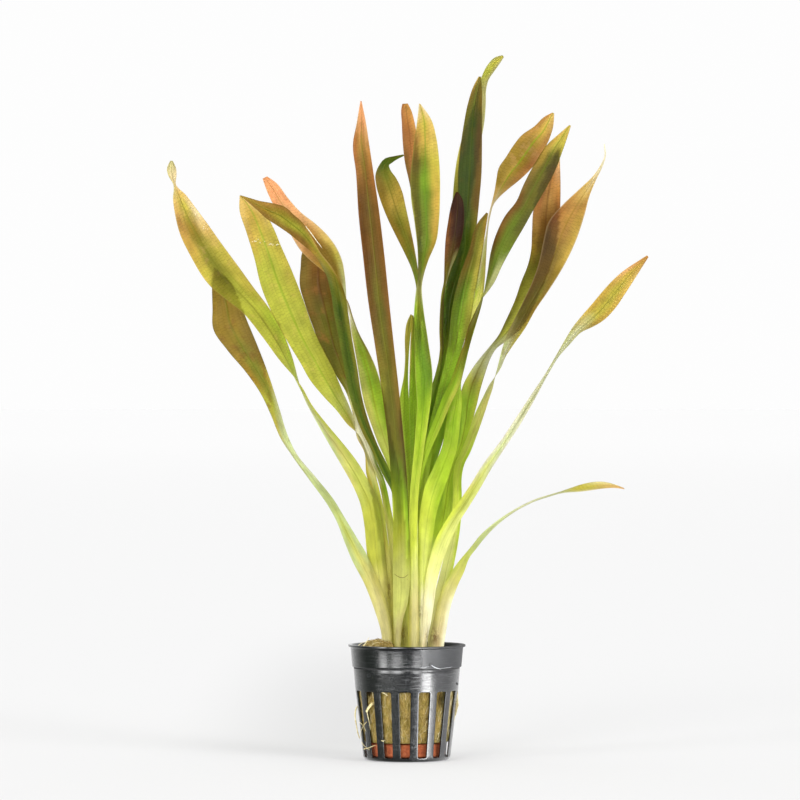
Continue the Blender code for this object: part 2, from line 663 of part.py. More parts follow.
def smooth_rows(stations, fine):
    """Rows of (margin 1, margin 2) in mm along a leaf, on a curve through its stations.

    fine is (longest step in mm, largest turn between rows in degrees)."""
    pts = []
    for u1, v1, u2, v2, y, dy in stations:
        pts.append((*place(u1, v1, y - dy / 2), *place(u2, v2, y + dy / 2)))
    pts = np.array(pts)
    mid = (pts[:, :3] + pts[:, 3:]) / 2
    step = np.linalg.norm(np.diff(mid, axis=0), axis=1)
    at = np.concatenate([[0.0], np.cumsum(np.maximum(step, 0.5))])
    slope = np.zeros_like(pts)
    secant = np.diff(pts, axis=0) / np.diff(at)[:, None]
    slope[0], slope[-1] = secant[0], secant[-1]
    for k in range(1, len(pts) - 1):
        a, b = at[k] - at[k - 1], at[k + 1] - at[k]
        slope[k] = (secant[k - 1] * b + secant[k] * a) / (a + b)

    def value(s):
        k = int(min(max(np.searchsorted(at, s, side="right") - 1, 0), len(at) - 2))
        h = at[k + 1] - at[k]
        t = (s - at[k]) / h
        return ((2 * t**3 - 3 * t**2 + 1) * pts[k] + (t**3 - 2 * t**2 + t) * h * slope[k]
                + (-2 * t**3 + 3 * t**2) * pts[k + 1] + (t**3 - t**2) * h * slope[k + 1])

    def turn(a, b):
        worst = 0.0
        ea, eb = a[3:] - a[:3], b[3:] - b[:3]
        la, lb = np.linalg.norm(ea), np.linalg.norm(eb)
        if la > 1.5 and lb > 1.5:
            worst = math.degrees(math.acos(max(-1.0, min(1.0, ea @ eb / la / lb))))
        return worst

    longest, most_turn = fine
    places = [0.0]

    def split(s0, s1, depth):
        a, b = value(s0), value(s1)
        m = value((s0 + s1) / 2)
        mid_a, mid_b, mid_m = (a[:3] + a[3:]) / 2, (b[:3] + b[3:]) / 2, (m[:3] + m[3:]) / 2
        sag = np.linalg.norm(mid_m - (mid_a + mid_b) / 2)
        sag = max(sag, np.linalg.norm(m[:3] - (a[:3] + b[:3]) / 2),
                  np.linalg.norm(m[3:] - (a[3:] + b[3:]) / 2))
        if depth < 6 and (s1 - s0 > longest or turn(a, b) > most_turn or sag > longest * 0.025):
            split(s0, (s0 + s1) / 2, depth + 1)
            split((s0 + s1) / 2, s1, depth + 1)
        else:
            places.append(s1)

    # Spans start from stations that lie apart, so that short spans don't cost rows.
    knots = [0]
    for k in range(1, len(at) - 1):
        if at[k] - at[knots[-1]] >= longest * 0.4 and at[-1] - at[k] >= longest * 0.3:
            knots.append(k)
    knots.append(len(at) - 1)
    for a, b in zip(knots, knots[1:]):
        split(at[a], at[b], 0)
    return [value(s) for s in places]


def leaf_mesh(stations, thick):
    """A closed ribbon with a flat section: two margins, front and back."""
    rows = smooth_rows(stations, (15.0, 28.0))
    bm = bmesh.new()
    loops = []
    mids = [(r[:3] + r[3:]) / 2 for r in rows]
    last = None
    for k, row in enumerate(rows):
        a, b = row[:3], row[3:]
        along = mids[min(k + 1, len(rows) - 1)] - mids[max(k - 1, 0)]
        n = np.cross(b - a, along)
        n = n / max(np.linalg.norm(n), 1e-9)
        if last is not None and n @ last < 0 and k == len(rows) - 1:
            n = -n
        last = n
        h = thick / 2 * (0.8 if k in (0, len(rows) - 1) else 1.0)
        loops.append([bm.verts.new(Vector(p * MM)) for p in (a - n * h, b - n * h, b + n * h, a + n * h)])
    for p, q in zip(loops, loops[1:]):
        for i in range(4):
            j = (i + 1) % 4
            bm.faces.new((p[i], p[j], q[j], q[i]))
    bm.faces.new(loops[0][::-1])
    bm.faces.new(loops[-1])
    bmesh.ops.triangulate(bm, faces=bm.faces)
    return bm


def pot_mesh():
    """Turned pot with 16 side slots and 8 floor holes, built sector by sector."""
    bm = bmesh.new()
    # A slot takes two sectors of each pitch, and the rib beside it the third.
    pitch = 360.0 / SLOTS
    angles = [SLOT_PHASE - 90.0 - SLOT_WIDE / 2 + pitch * (i // 3) + SLOT_WIDE / 2 * (i % 3)
              for i in range(SECTORS)]

    def turn(radius, z):
        return [bm.verts.new((radius * math.cos(math.radians(a)) * MM,
                              radius * math.sin(math.radians(a)) * MM, z * MM)) for a in angles]

    outer_profile = [
        (FLANGE_R - 0.15, POT_TOP), (FLANGE_R, POT_TOP - 0.35), (FLANGE_R - 0.1, POT_TOP - 0.9),
        (COLLAR_R_TOP, POT_TOP - 1.15), (COLLAR_R_LOW, COLLAR_Z), (BODY_R_TOP, COLLAR_Z - 0.15),
        (SLOT_TOP_R, SLOT_TOP_Z), (SLOT_LOW_R, SLOT_LOW_Z), (SLOT_LOW_R - 0.5, 0.5),
        (FOOT_R, 0.0), (FLOOR_HOLE_R[1], 0.0), (FLOOR_HOLE_R[0], 0.0),
    ]
    inner_profile = [
        (COLLAR_R_TOP - 0.05, POT_TOP), (COLLAR_R_TOP - WALL, POT_TOP - 0.9),
        (COLLAR_R_LOW - WALL, COLLAR_Z), (BODY_R_TOP - WALL, COLLAR_Z - 0.8),
        (SLOT_TOP_R - WALL, SLOT_TOP_Z), (SLOT_LOW_R - WALL, SLOT_LOW_Z),
        (SLOT_LOW_R - WALL - 1.2, FLOOR + 0.1), (FLOOR_HOLE_R[1], FLOOR), (FLOOR_HOLE_R[0], FLOOR),
    ]
    outer = [turn(r, z) for r, z in outer_profile]
    inner = [turn(r, z) for r, z in inner_profile]
    wide = SECTORS // SLOTS  # sectors to a slot and its rib
    is_slot = lambda i: i % wide < wide - 1
    is_hole = lambda i: i % 6 < 3
    for k in range(len(outer) - 1):
        if k == 6:
            band(bm, outer[k + 1], outer[k], lambda i: not is_slot(i))
        elif k == 10:
            band(bm, outer[k + 1], outer[k], lambda i: not is_hole(i))
        else:
            band(bm, outer[k + 1], outer[k])
    for k in range(len(inner) - 1):
        if k == 4:
            band(bm, inner[k], inner[k + 1], lambda i: not is_slot(i))
        elif k == 7:
            band(bm, inner[k], inner[k + 1], lambda i: not is_hole(i))
        else:
            band(bm, inner[k], inner[k + 1])
    band(bm, outer[0], inner[0])
    for loop, z in ((outer[-1], 0.0), (inner[-1], FLOOR)):
        hub = bm.verts.new((0, 0, z * MM))
        for i in range(SECTORS):
            j = (i + 1) % SECTORS
            bm.faces.new((hub, loop[i], loop[j]))
    ot, ob, it, ib = outer[6], outer[7], inner[4], inner[5]
    for i in range(SECTORS):
        j = (i + 1) % SECTORS
        if is_slot(i):
            bm.faces.new((ot[i], ot[j], it[j], it[i]))
            bm.faces.new((ob[i], ob[j], ib[j], ib[i]))
            if not is_slot(i - 1):
                bm.faces.new((ot[i], it[i], ib[i], ob[i]))
            if not is_slot(j):
                bm.faces.new((ot[j], it[j], ib[j], ob[j]))
    ot, ob, it, ib = outer[10], outer[11], inner[7], inner[8]
    for i in range(SECTORS):
        j = (i + 1) % SECTORS
        if is_hole(i):
            bm.faces.new((ot[i], ot[j], it[j], it[i]))
            bm.faces.new((ob[i], ob[j], ib[j], ib[i]))
            if not is_hole(i - 1):
                bm.faces.new((ot[i], it[i], ib[i], ob[i]))
            if not is_hole(j):
                bm.faces.new((ot[j], it[j], ib[j], ob[j]))
    return bm


def wool_top(x, y):
    """Height of the wool's top in mm: low where the plants stand, heaped to the left."""
    t = max(0.0, min(1.0, (-x - 11.0) / 4.5))
    t = t * t * (3 - 2 * t)
    back = max(0.0, min(1.0, (y + 14.0) / 12.0))
    edge = max(0.0, min(1.0, (21.6 - math.hypot(x, y)) / 3.5))
    ripple = 0.35 * math.sin(0.9 * x + 0.4) * math.cos(0.8 * y)
    far = max(0.0, min(1.0, (math.hypot(x - 4.0, y) - 9.0) / 4.0))
    return WOOL_Z[1] + WOOL_MOUND * t * back * edge + ripple * far - 0.3 * far


def wool_mesh():
    bm = bmesh.new()
    count = 32
    slope = (SLOT_TOP_R - SLOT_LOW_R) / (SLOT_TOP_Z - SLOT_LOW_Z)
    rings = []
    for z in (WOOL_Z[0], 15.0, 22.0, 29.0):
        rings.append(ring(bm, SLOT_LOW_R + slope * (z - SLOT_LOW_Z) - WALL - GAP - 0.05, z, count))
    rings.append(ring(bm, BODY_R_TOP - WALL - GAP - 0.25, 37.0, count))
    top_r = COLLAR_R_LOW - WALL - GAP - 0.1
    for r in (top_r, 18.0, 13.5, 9.0, 4.5):
        row = []
        for i in range(count):
            a = 2 * math.pi * i / count
            x, y = r * math.cos(a), r * math.sin(a)
            row.append(bm.verts.new((x * MM, y * MM, wool_top(x, y) * MM)))
        rings.append(row)
    for lower, upper in zip(rings, rings[1:]):
        band(bm, lower, upper)
    for row, z in ((rings[0], WOOL_Z[0]), (rings[-1], wool_top(0, 0))):
        hub = bm.verts.new((0, 0, z * MM))
        for i in range(count):
            bm.faces.new((hub, row[i], row[(i + 1) % count]))
    return bm


def crown_mesh(cx, cy, rx, ry, grow=0.0, top=CROWN_TOP):
    """A short stem: blunt below, widest under its flat top."""
    bm = bmesh.new()
    count = 16
    rows = []
    shape = [(0.45, CROWN_LOW - grow), (0.78, CROWN_LOW + 1.6), (0.95, CROWN_LOW + 4.5), (1.0, CROWN_TOP)]
    if top > CROWN_TOP:
        shape.append((1.0, top))
    for f, z in shape:
        rows.append(ring(bm, rx * f + grow, z, count, 0, cx, cy, ry * f + grow))
    for lower, upper in zip(rows, rows[1:]):
        band(bm, lower, upper)
    bm.faces.new(rows[0][::-1])
    bm.faces.new(rows[-1])
    return bm


def clay_mesh():
    bm = bmesh.new()
    z0, z1 = CLAY_Z
    b = 0.5
    profile = [(CLAY_R_IN + b, z0), (CLAY_R_OUT - b, z0), (CLAY_R_OUT, z0 + b), (CLAY_R_OUT, z1 - b),
               (CLAY_R_OUT - b, z1), (CLAY_R_IN + b, z1), (CLAY_R_IN, z1 - b), (CLAY_R_IN, z0 + b)]
    rows = [ring(bm, r, z, 36) for r, z in profile]
    for a, c in zip(rows, rows[1:] + rows[:1]):
        band(bm, a, c)
    return bm


def tube_object(name, radius, points, mat):
    curve = bpy.data.curves.new(name, "CURVE")
    curve.dimensions = "3D"
    curve.bevel_depth = radius * MM
    curve.bevel_resolution = 1
    curve.use_fill_caps = True
    pts = [Vector(p) for p in points]
    path = []
    for k in range(len(pts) - 1):
        p0, p1 = pts[max(k - 1, 0)], pts[k]
        p2, p3 = pts[k + 1], pts[min(k + 2, len(pts) - 1)]
        for i in range(3):
            t = i / 3
            path.append(0.5 * (2 * p1 + (p2 - p0) * t + (2 * p0 - 5 * p1 + 4 * p2 - p3) * t * t
                               + (3 * p1 - p0 - 3 * p2 + p3) * t**3))
    path.append(pts[-1])
    spline = curve.splines.new("POLY")
    spline.points.add(len(path) - 1)
    for k, p in enumerate(path):
        spline.points[k].co = (*(p * MM), 1.0)
        taper = 1.0 - 0.45 * k / (len(path) - 1)
        spline.points[k].radius = taper
    curve.materials.append(mat)
    obj = bpy.data.objects.new(name, curve)
    bpy.context.scene.collection.objects.link(obj)
    return obj


LEAF_COLOURS = {
    "leaf_left_front": (0.22, 0.13, 0.03), "leaf_left_low": (0.36, 0.26, 0.05),
    "leaf_left_outer": (0.42, 0.42, 0.08), "leaf_left_bright": (0.50, 0.54, 0.08),
    "leaf_left_drooping": (0.12, 0.17, 0.02), "leaf_left_salmon": (0.55, 0.33, 0.10),
    "leaf_left_brown": (0.20, 0.11, 0.03), "leaf_middle_yellow": (0.32, 0.40, 0.04),
    "leaf_middle_hooked": (0.26, 0.20, 0.03), "leaf_middle_blunt": (0.42, 0.16, 0.05),
    "leaf_middle_short_left": (0.34, 0.38, 0.04), "leaf_middle_short_right": (0.38, 0.40, 0.04),
    "leaf_middle_tall": (0.05, 0.12, 0.02), "leaf_middle_curled": (0.45, 0.45, 0.08),
    "leaf_middle_red": (0.09, 0.03, 0.01), "leaf_middle_lime": (0.30, 0.36, 0.03),
    "leaf_middle_green": (0.13, 0.22, 0.03), "leaf_middle_gold": (0.48, 0.30, 0.06),
    "leaf_middle_rust": (0.42, 0.21, 0.08), "leaf_middle_wide": (0.52, 0.50, 0.08),
    "leaf_right_hair_tip": (0.52, 0.32, 0.06), "leaf_right_arching": (0.50, 0.40, 0.18),
}


def build():
    for obj in list(bpy.data.objects):
        bpy.data.objects.remove(obj, do_unlink=True)

    add_object("pot", pot_mesh(), material("black_plastic", (0.035, 0.037, 0.04), 0.38))
    add_object("clay_ring", clay_mesh(), material("fired_clay", (0.42, 0.12, 0.05), 0.85))

    wool = add_object("mineral_wool", wool_mesh(), material("wool", (0.36, 0.26, 0.08), 0.95))
    for name, (cx, cy, rx, ry) in CROWNS.items():
        cutter = add_object(name + "_hole", crown_mesh(cx, cy, rx, ry, GAP + 0.1, 60.0), material("guide", (1, 0, 0), 1))
        cutter.hide_render = True
        cutter.display_type = "WIRE"
        cut = wool.modifiers.new(name + "_hole", "BOOLEAN")
        cut.operation = "DIFFERENCE"
        cut.solver = "EXACT"
        cut.object = cutter
    stem = material("stem", (0.62, 0.58, 0.34), 0.5)
    for name, (cx, cy, rx, ry) in CROWNS.items():
        add_object(name, crown_mesh(cx, cy, rx, ry), stem)

    for name, stations in LEAVES.items():
        add_object(name, leaf_mesh(stations, LEAF_THICK), material(name, LEAF_COLOURS[name], 0.4))

    root = material("root", (0.75, 0.68, 0.48), 0.6)
    for name, (radius, points) in ROOTS.items():
        tube_object(name, radius, points, root)


build()
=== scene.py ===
"""Potted vallisneria, the looks: strap leaves, stems, roots, mineral wool and a slotted net pot.

The frame is in metres; the tables and most numbers below are in millimetres.
"""

import math

import bmesh
import bpy
import numpy as np
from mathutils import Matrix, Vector, noise
from mathutils.bvhtree import BVHTree


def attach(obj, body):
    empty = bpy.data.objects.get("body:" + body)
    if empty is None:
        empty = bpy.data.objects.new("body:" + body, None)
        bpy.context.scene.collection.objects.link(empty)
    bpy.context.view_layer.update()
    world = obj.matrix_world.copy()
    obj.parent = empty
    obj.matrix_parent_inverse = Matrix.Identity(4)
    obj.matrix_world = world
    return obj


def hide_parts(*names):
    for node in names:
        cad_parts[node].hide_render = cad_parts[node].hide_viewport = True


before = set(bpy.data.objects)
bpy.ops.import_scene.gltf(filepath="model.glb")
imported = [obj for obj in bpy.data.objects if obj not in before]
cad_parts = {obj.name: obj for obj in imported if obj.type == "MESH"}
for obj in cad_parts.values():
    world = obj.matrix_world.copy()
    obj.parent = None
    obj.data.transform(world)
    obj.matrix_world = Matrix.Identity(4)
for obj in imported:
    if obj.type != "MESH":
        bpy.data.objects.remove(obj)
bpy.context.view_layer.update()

MM = 0.001
rng = np.random.default_rng(407)

# ---------------------------------------------------------------- dimensions, as in the CAD, mm
POT_TOP = 49.0
FLANGE_R = 25.0
COLLAR_R_TOP = 24.05
COLLAR_R_LOW = 23.3
COLLAR_Z = 39.6
BODY_R_TOP = 22.75
SLOT_TOP_Z = 29.6
SLOT_TOP_R = 21.9
SLOT_LOW_Z = 1.5
SLOT_LOW_R = 18.6
FOOT_R = 17.0
WALL = 0.9
FLOOR = 1.2
SLOTS = 16
SLOT_WIDE = 13.2
SLOT_PHASE = -2.2
FLOOR_HOLE_R = (8.0, 14.5)
CLAY_R_OUT = 16.2
CLAY_R_IN = 6.0
CLAY_Z = (1.65, 7.4)
WOOL_Z = (7.8, 45.0)
WOOL_MOUND = 5.4
CROWNS = {
    "crown_left": (-6.6, 0.4, 4.7, 6.0),
    "crown_middle": (4.5, 0.2, 4.7, 6.2),
    "crown_right": (13.1, 2.6, 3.1, 3.9),
}
CROWN_TOP = 45.1
CROWN_LOW = 33.0

# ---------------------------------------------------------------- front elevation, as in the CAD
EYE_X, EYE_Z, EYE_Y = -2.9, 153.0, 2084.0
FOCUS = 4893.0


def place(u, v, y):
    """The point in mm that the elevation shows at (u, v) and that lies y mm deep."""
    k = (EYE_Y + y) / FOCUS
    return Vector((EYE_X + (u - 400.0) * k, y, EYE_Z - (v - 400.0) * k))


# Rows from tip to base: both margins (u1, v1, u2, v2), depth, and how much deeper the
# second margin lies.
LEAVES = {
    "leaf_left_front": [
        (360.4, 101, 361.6, 101, -34, 0),
        (356.7, 123, 366, 123, -32, 2),
        (353, 143, 369, 143, -30, 4),
        (356, 173, 373.5, 173, -27, 5),
        (358.5, 214, 379.5, 214, -23, 5),
        (363, 256, 384.5, 256, -19, 5),
        (368, 300, 389, 300, -16, 4),
        (375, 346, 394, 346, -13, 4),
        (383, 400, 400, 400, -10, 3),
        (387, 431, 403, 431, -9.2, 2),
        (390.5, 471, 406.5, 471, -8.2, 1),
        (393, 522, 409, 522, -7.0, 0),
        (393, 560, 410, 560, -6.6, 0),
        (393, 600, 408.3, 600, -5.9, 0),
        (393.5, 622, 402.6, 622, -4.7, 0),
        (394, 652, 400.3, 652, -4.2, 0),
    ],
    "leaf_left_low": [
        (213, 268, 215, 268, 34, 0),
        (212, 287, 231, 283, 32, -1),
        (212.5, 308, 239, 300, 30, -2),
        (213, 328, 246, 318, 28, -3),
        (228, 351, 256, 342, 25, -4),
        (245, 371, 264.5, 363.5, 22, -5),
        (260, 392.5, 272.5, 386.5, 19, -6),
        (270.5, 414, 279.8, 410, 15, -6),
        (280.5, 438, 287, 433.5, 12, -5.5),
        (291.5, 455, 295.6, 452, 9, -5),
        (311, 482, 316.5, 478, 5, -3),
        (327, 504, 334, 500, 3, -2.5),
        (336, 520, 344, 516.5, 0.6, -1.6),
        (345, 543, 357, 538, -1.6, -0.8),
        (352, 560, 366, 553, -2.6, -0.4),
        (364, 583, 377, 577, -2.8, 0),
        (374.5, 610, 387, 603, -3.0, 0),
        (381, 632, 392, 627, -3.0, 0),
        (382.8, 652, 393, 652, -2.9, 0),
    ],
    "leaf_left_outer": [
        (170.3, 160.7, 172.7, 160.7, 24, 0),
        (167, 168, 176, 168, 23.5, 1),
        (168.5, 176, 176.5, 176, 23, 2),
        (173.2, 184, 175.8, 184, 22.5, 3),
        (173, 199, 186, 195, 21.5, 3.5),
        (175, 214, 195, 207, 21, 4),
        (180, 234, 207, 223, 20, 5),
        (190, 255, 219, 240, 18.5, 5),
        (211, 287, 241, 270, 16, 6),
        (228, 301, 254, 288, 14.5, 7),
        (244, 314, 267, 305, 13, 7.5),
        (261, 335, 280, 326, 11.5, 8),
        (279, 359.5, 291, 353, 10, 8),
        (302.6, 388, 301.6, 390, 7.8, 8),
        (312, 405, 308.5, 406.5, 6.2, 7),
        (323.5, 420, 316, 421, 5, 6),
        (341, 441, 329, 444, 3.5, 5),
        (356, 460, 341, 464.5, 2, 3),
        (367.5, 479, 352, 484, 1, 2),
        (377.5, 499, 360, 503, -0.3, 1),
        (382, 522, 364, 523, -1.0, 0),
        (385, 553, 367, 554, -1.4, 0),
        (388, 582, 372, 582, -1.5, 0),
        (391, 610, 380, 611, -1.6, 0),
        (392.5, 635, 385, 635, -1.6, 0),
        (392.5, 652, 386, 652, -1.6, 0),
    ],
    "leaf_left_bright": [
        (239.6, 195.5, 241.6, 196.5, 14, 0),
        (239.5, 210, 260, 206, 13.5, 1),
        (246, 231, 272, 225, 13, 2),
        (254, 257, 281, 246, 12, 2.5),
        (261, 286, 292, 271, 11, 3),
        (272, 313, 303, 299, 9.5, 3.5),
        (289.5, 345, 316, 335, 8, 4),
        (301, 364, 326, 355, 7, 4.5),
        (310, 380, 335, 373, 6, 5),
        (324, 397, 343, 392, 5, 5.5),
        (337, 411, 350, 408, 4.3, 6),
        (348, 425, 355, 423, 3.8, 5),
        (358, 434, 356.3, 435.5, 3.3, 4),
        (367, 452, 364.6, 453, 2.7, 3.5),
        (374, 470, 366, 472, 1.8, 3),
        (379.5, 490, 371, 493, 1.0, 2),
        (384, 510, 375, 512, 0.6, 1),
        (388, 540, 379, 540, 0.2, 0),
        (392, 575, 383, 575, -0.1, 0),
        (394.5, 610, 386, 610, -0.3, 0),
        (396, 652, 388, 652, -0.3, 0),
    ],
    "leaf_left_drooping": [
        (240.0, 195.0, 241.4, 197.0, -16, 0),
        (250, 198, 247.5, 201.5, -15.5, 0),
        (259, 200.7, 256, 209, -15, 1),
        (273, 203.3, 267, 219, -14, 2),
        (285, 207, 277, 225.5, -13, 3),
        (294, 215, 288, 233, -12, 4),
        (302, 222, 297, 240, -11, 5),
        (309, 232, 305, 246.5, -10, 6),
        (315, 243, 312, 252.5, -9, 7),
        (321.5, 254, 318, 260, -8, 7),
        (330, 264.5, 321.5, 266.5, -7.5, 7),
        (338, 277, 326, 275, -7, 6),
        (345, 294, 330, 290, -6, 4),
        (348.5, 315, 334, 315, -5, 3),
        (352, 338, 338.5, 338, -4, 2),
        (357, 366, 343.5, 366, -3, 2),
        (362, 397, 350, 397, -2.3, 2),
        (372, 431, 363, 434, -1.3, 1.5),
        (379, 448, 372, 451, -0.7, 1.2),
        (386, 462, 379, 467, -0.2, 1),
        (391, 473, 385, 479, 0.2, 0.8),
        (397.5, 486, 391, 490, 0.5, 0.5),
        (401, 505, 393.5, 506, 0.8, 0),
        (402, 530, 394, 530, 1.0, 0),
        (401, 560, 393, 560, 1.0, 0),
        (400, 600, 392, 600, 1.0, 0),
        (398, 652, 391, 652, 1.0, 0),
    ],
    "leaf_left_salmon": [
        (267, 176.3, 262.5, 178.7, 20, 0),
        (276, 182.5, 266.5, 190, 19.5, 1),
        (288, 198, 274, 206, 18.5, 2),
        (300, 211.5, 283, 221, 17.5, 3),
        (317, 225, 292, 237, 16, 4),
        (329, 237, 301, 251, 14.5, 5),
        (337.5, 249.5, 312, 262, 13, 6),
        (342.5, 262, 323, 271, 12, 7),
        (344.7, 275, 333, 281, 11, 8),
        (346, 289, 342, 293, 10, 8),
        (346.6, 302, 347.8, 301, 9.5, 7),
        (349, 314, 353, 317, 9, 6),
        (351, 330, 359, 333, 8.5, 5),
        (354, 346, 368, 350, 8, 3.5),
        (357.5, 366, 376, 368, 7, 2.5),
        (361, 388, 382, 388, 6, 2),
        (365.5, 408, 386, 408, 5, 1),
        (371, 424, 389, 424, 4.5, 1),
        (378, 443, 393, 443, 3.8, 0.5),
        (385, 459, 397, 459, 3.2, 0),
        (391, 476, 401, 476, 2.8, 0),
        (395, 500, 403, 500, 2.5, 0),
        (397, 540, 406, 540, 2.3, 0),
        (399, 580, 408, 580, 2.3, 0),
        (400, 610, 408.6, 610, 2.3, 0),
        (400.5, 630, 408.6, 630, 2.3, 0),
        (400.5, 652, 408.4, 652, 2.3, 0),
    ],
    "leaf_left_brown": [
        (312, 236, 314.5, 236, 26, 0),
        (303, 250, 330, 246, 24, 1),
        (300.5, 268, 336, 262, 22, 1),
        (300, 287, 338, 284, 20, 1),
        (305, 304, 341, 300, 18, 1),
        (313, 327, 344, 322, 16, 2),
        (321, 347, 346, 343, 14.5, 2),
        (329, 361, 348, 358, 13.5, 2),
        (337, 377, 351, 375, 12.5, 2),
        (345, 390, 354, 389, 11.5, 2),
        (350.5, 405, 357, 404, 10.5, 2),
        (356, 430, 362.5, 428, 9, 2),
        (363, 447, 371, 446, 8, 1),
        (369, 465, 377.5, 464, 7, 1),
        (377, 478, 383.5, 477, 6.2, 1),
        (380.5, 490, 387, 489, 5.4, 0.5),
        (383, 504, 390, 504, 4.8, 0),
        (387, 530, 395, 530, 4.2, 0),
        (390, 560, 399, 560, 3.8, 0),
        (392, 600, 401, 600, 3.6, 0),
        (392, 652, 399, 652, 3.6, 0),
    ],
    "leaf_middle_yellow": [
        (419, 103.5, 420.6, 104, -14, 0),
        (417.3, 120, 431, 119, -13.5, 1),
        (415, 137, 436, 136, -13, 2),
        (413, 153, 438.5, 153, -12.5, 2),
        (410.5, 176, 440, 176, -12, 3),
        (411, 197, 440, 196, -11.5, 3),
        (414.5, 222, 439, 221, -11, 3),
        (417, 243, 436, 242, -10.5, 3),
        (418.5, 260, 428.5, 260, -10.2, 4),
        (418.8, 273, 424.3, 273, -10, 4),
        (416.5, 287, 421.8, 287, -9.8, 3),
        (415, 300, 422.5, 300, -9.5, 2),
        (414, 313, 424, 313, -9.2, 2),
        (414.5, 340, 428, 340, -8.6, 2),
        (415.5, 380, 432.5, 380, -8, 2),
        (417, 400, 431, 400, -7.7, 1.5),
        (415.5, 430, 427, 430, -7.1, 1),
        (413, 461, 422.5, 461, -6.5, 0.5),
        (410, 492, 418.7, 492, -6, 0),
        (409, 522, 417.7, 522, -5.6, 0),
        (409, 560, 418, 560, -5.3, 0),
        (409.5, 600, 418.5, 600, -5.1, 0),
        (409, 640, 418.8, 640, -4.9, 0),
        (409.2, 652, 418.6, 652, -4.9, 0),
    ],
    "leaf_middle_hooked": [
        (403.4, 154.4, 404.2, 155.8, 2, 0),
        (394, 156.1, 396.5, 159.7, 1.5, 1),
        (384, 159, 391.5, 163.3, 1, 2),
        (377.6, 168, 388.9, 165.7, 0.3, 3),
        (375.3, 175.5, 391, 171, -0.4, 2.5),
        (376, 184, 395.5, 177, -0.6, 2),
        (380, 199, 402, 191, -0.4, 2),
        (386.5, 216, 406, 208, -0.2, 2.5),
        (396, 236, 411, 231, 0, 3),
        (405, 254, 415, 251, 0.2, 3),
        (412, 270, 418, 269, 0.3, 3),
        (416, 286, 420, 286, 0.4, 2.5),
        (416.5, 310, 421.5, 310, 0.5, 2),
        (415, 350, 421, 350, 0.5, 1.5),
        (413, 400, 420, 400, 0.4, 1),
        (410, 450, 418, 450, 0.2, 0),
        (408.5, 500, 417, 500, 0.1, 0),
        (408.5, 600, 417, 600, 0, 0),
        (409, 652, 416, 652, 0, 0),
    ],
    "leaf_middle_blunt": [
        (402.3, 103.8, 407.7, 103.4, 16, 0),
        (401.4, 108, 410, 107.5, 16, 0.5),
        (401.8, 123, 414.5, 122, 15.5, 1),
        (402.8, 143, 417.5, 142, 14.5, 2),
        (405, 163, 419.5, 162, 13.5, 2),
        (409, 181, 420, 180, 12.5, 2),
        (412.5, 200, 421, 200, 11.5, 2),
        (415.5, 225, 421.5, 225, 10, 2),
        (417.6, 250, 422, 250, 9, 1.5),
        (418, 285, 421, 285, 7.5, 1),
        (417, 330, 421, 330, 5.5, 1),
        (415, 380, 420, 380, 4, 1),
        (412, 430, 418, 430, 2.8, 0.5),
        (409.5, 480, 416.5, 480, 2, 0),
        (408.5, 540, 416, 540, 1.5, 0),
        (408.5, 600, 416.5, 600, 1.3, 0),
        (409, 652, 416, 652, 1.2, 0),
    ],
    "leaf_middle_short_left": [
        (410.4, 314.3, 412, 314.6, -3.6, 0),
        (407, 322, 411.9, 322, -3.5, 1),
        (405, 335, 410.4, 336, -3.4, 1),
        (405, 360, 408.6, 360, -3.2, 1),
        (403.5, 378, 408.1, 378, -3, 1),
        (400, 396, 408.8, 396, -2.6, 1),
        (400, 420, 410.3, 420, -2.2, 1),
        (402.5, 445, 411.5, 445, -1.9, 0.5),
        (405, 471, 413, 471, -1.6, 0),
        (407, 495, 414, 495, -1.4, 0),
        (408, 530, 415, 530, -1.3, 0),
        (408.5, 600, 416, 600, -1.2, 0),
        (409, 652, 416, 652, -1.2, 0),
    ],
    "leaf_middle_short_right": [
        (411.8, 315.2, 413.4, 315.4, -5, 0),
        (411.3, 325, 415.3, 325, -5, 1),
        (410.3, 344, 416, 344, -4.8, 1),
        (409.8, 362, 416.3, 362, -4.5, 1),
        (409.3, 380, 417, 380, -4.2, 1),
        (408.9, 400, 418.5, 400, -3.9, 1),
        (409.3, 420, 419.5, 420, -3.6, 0.5),
        (410.2, 445, 419.5, 445, -3.3, 0),
        (410.5, 471, 418.5, 471, -2.9, 0),
        (409, 500, 417, 500, -2.7, 0),
        (408.5, 560, 416.5, 560, -2.5, 0),
        (409, 652, 416, 652, -2.4, 0),
    ],
    "leaf_middle_tall": [
        (478.6, 76.5, 481, 76.5, 8, 0),
        (473.5, 86, 481.8, 87, 7.8, 1),
        (468, 103, 482, 104, 7.5, 2),
        (463.5, 126, 482, 127, 7, 3),
        (460.3, 148, 482, 149, 6.5, 3),
        (458, 173, 481.5, 174, 6, 3),
        (457.7, 197, 479.5, 198, 5.5, 3),
        (457.5, 222, 477, 223, 5, 3),
        (456.5, 248, 474, 249, 4.5, 3),
        (450.5, 270, 468, 272, 4, 2),
        (445, 288, 463, 290, 3.6, 2),
        (441, 303, 460, 305, 3.3, 2),
        (440, 325, 458, 327, 2.9, 2),
        (440.5, 350, 457, 352, 2.5, 1),
        (436.5, 369, 453, 371, 2.1, 1),
        (431, 390, 450, 392, 1.8, 1),
        (426, 412, 448, 414, 1.5, 1),
        (422, 435, 444, 437, 1.2, 0.5),
        (419, 460, 437, 461, 0.9, 0),
        (418, 490, 431, 491, 0.7, 0),
        (418, 530, 429, 530, 0.5, 0),
        (418, 600, 427.5, 600, 0.4, 0),
        (419, 652, 426, 652, 0.4, 0),
    ],
    "leaf_middle_curled": [
        (502.3, 55.1, 504, 56.9, 34, 0),
        (495.5, 57, 500.5, 62.5, 33.5, 1),
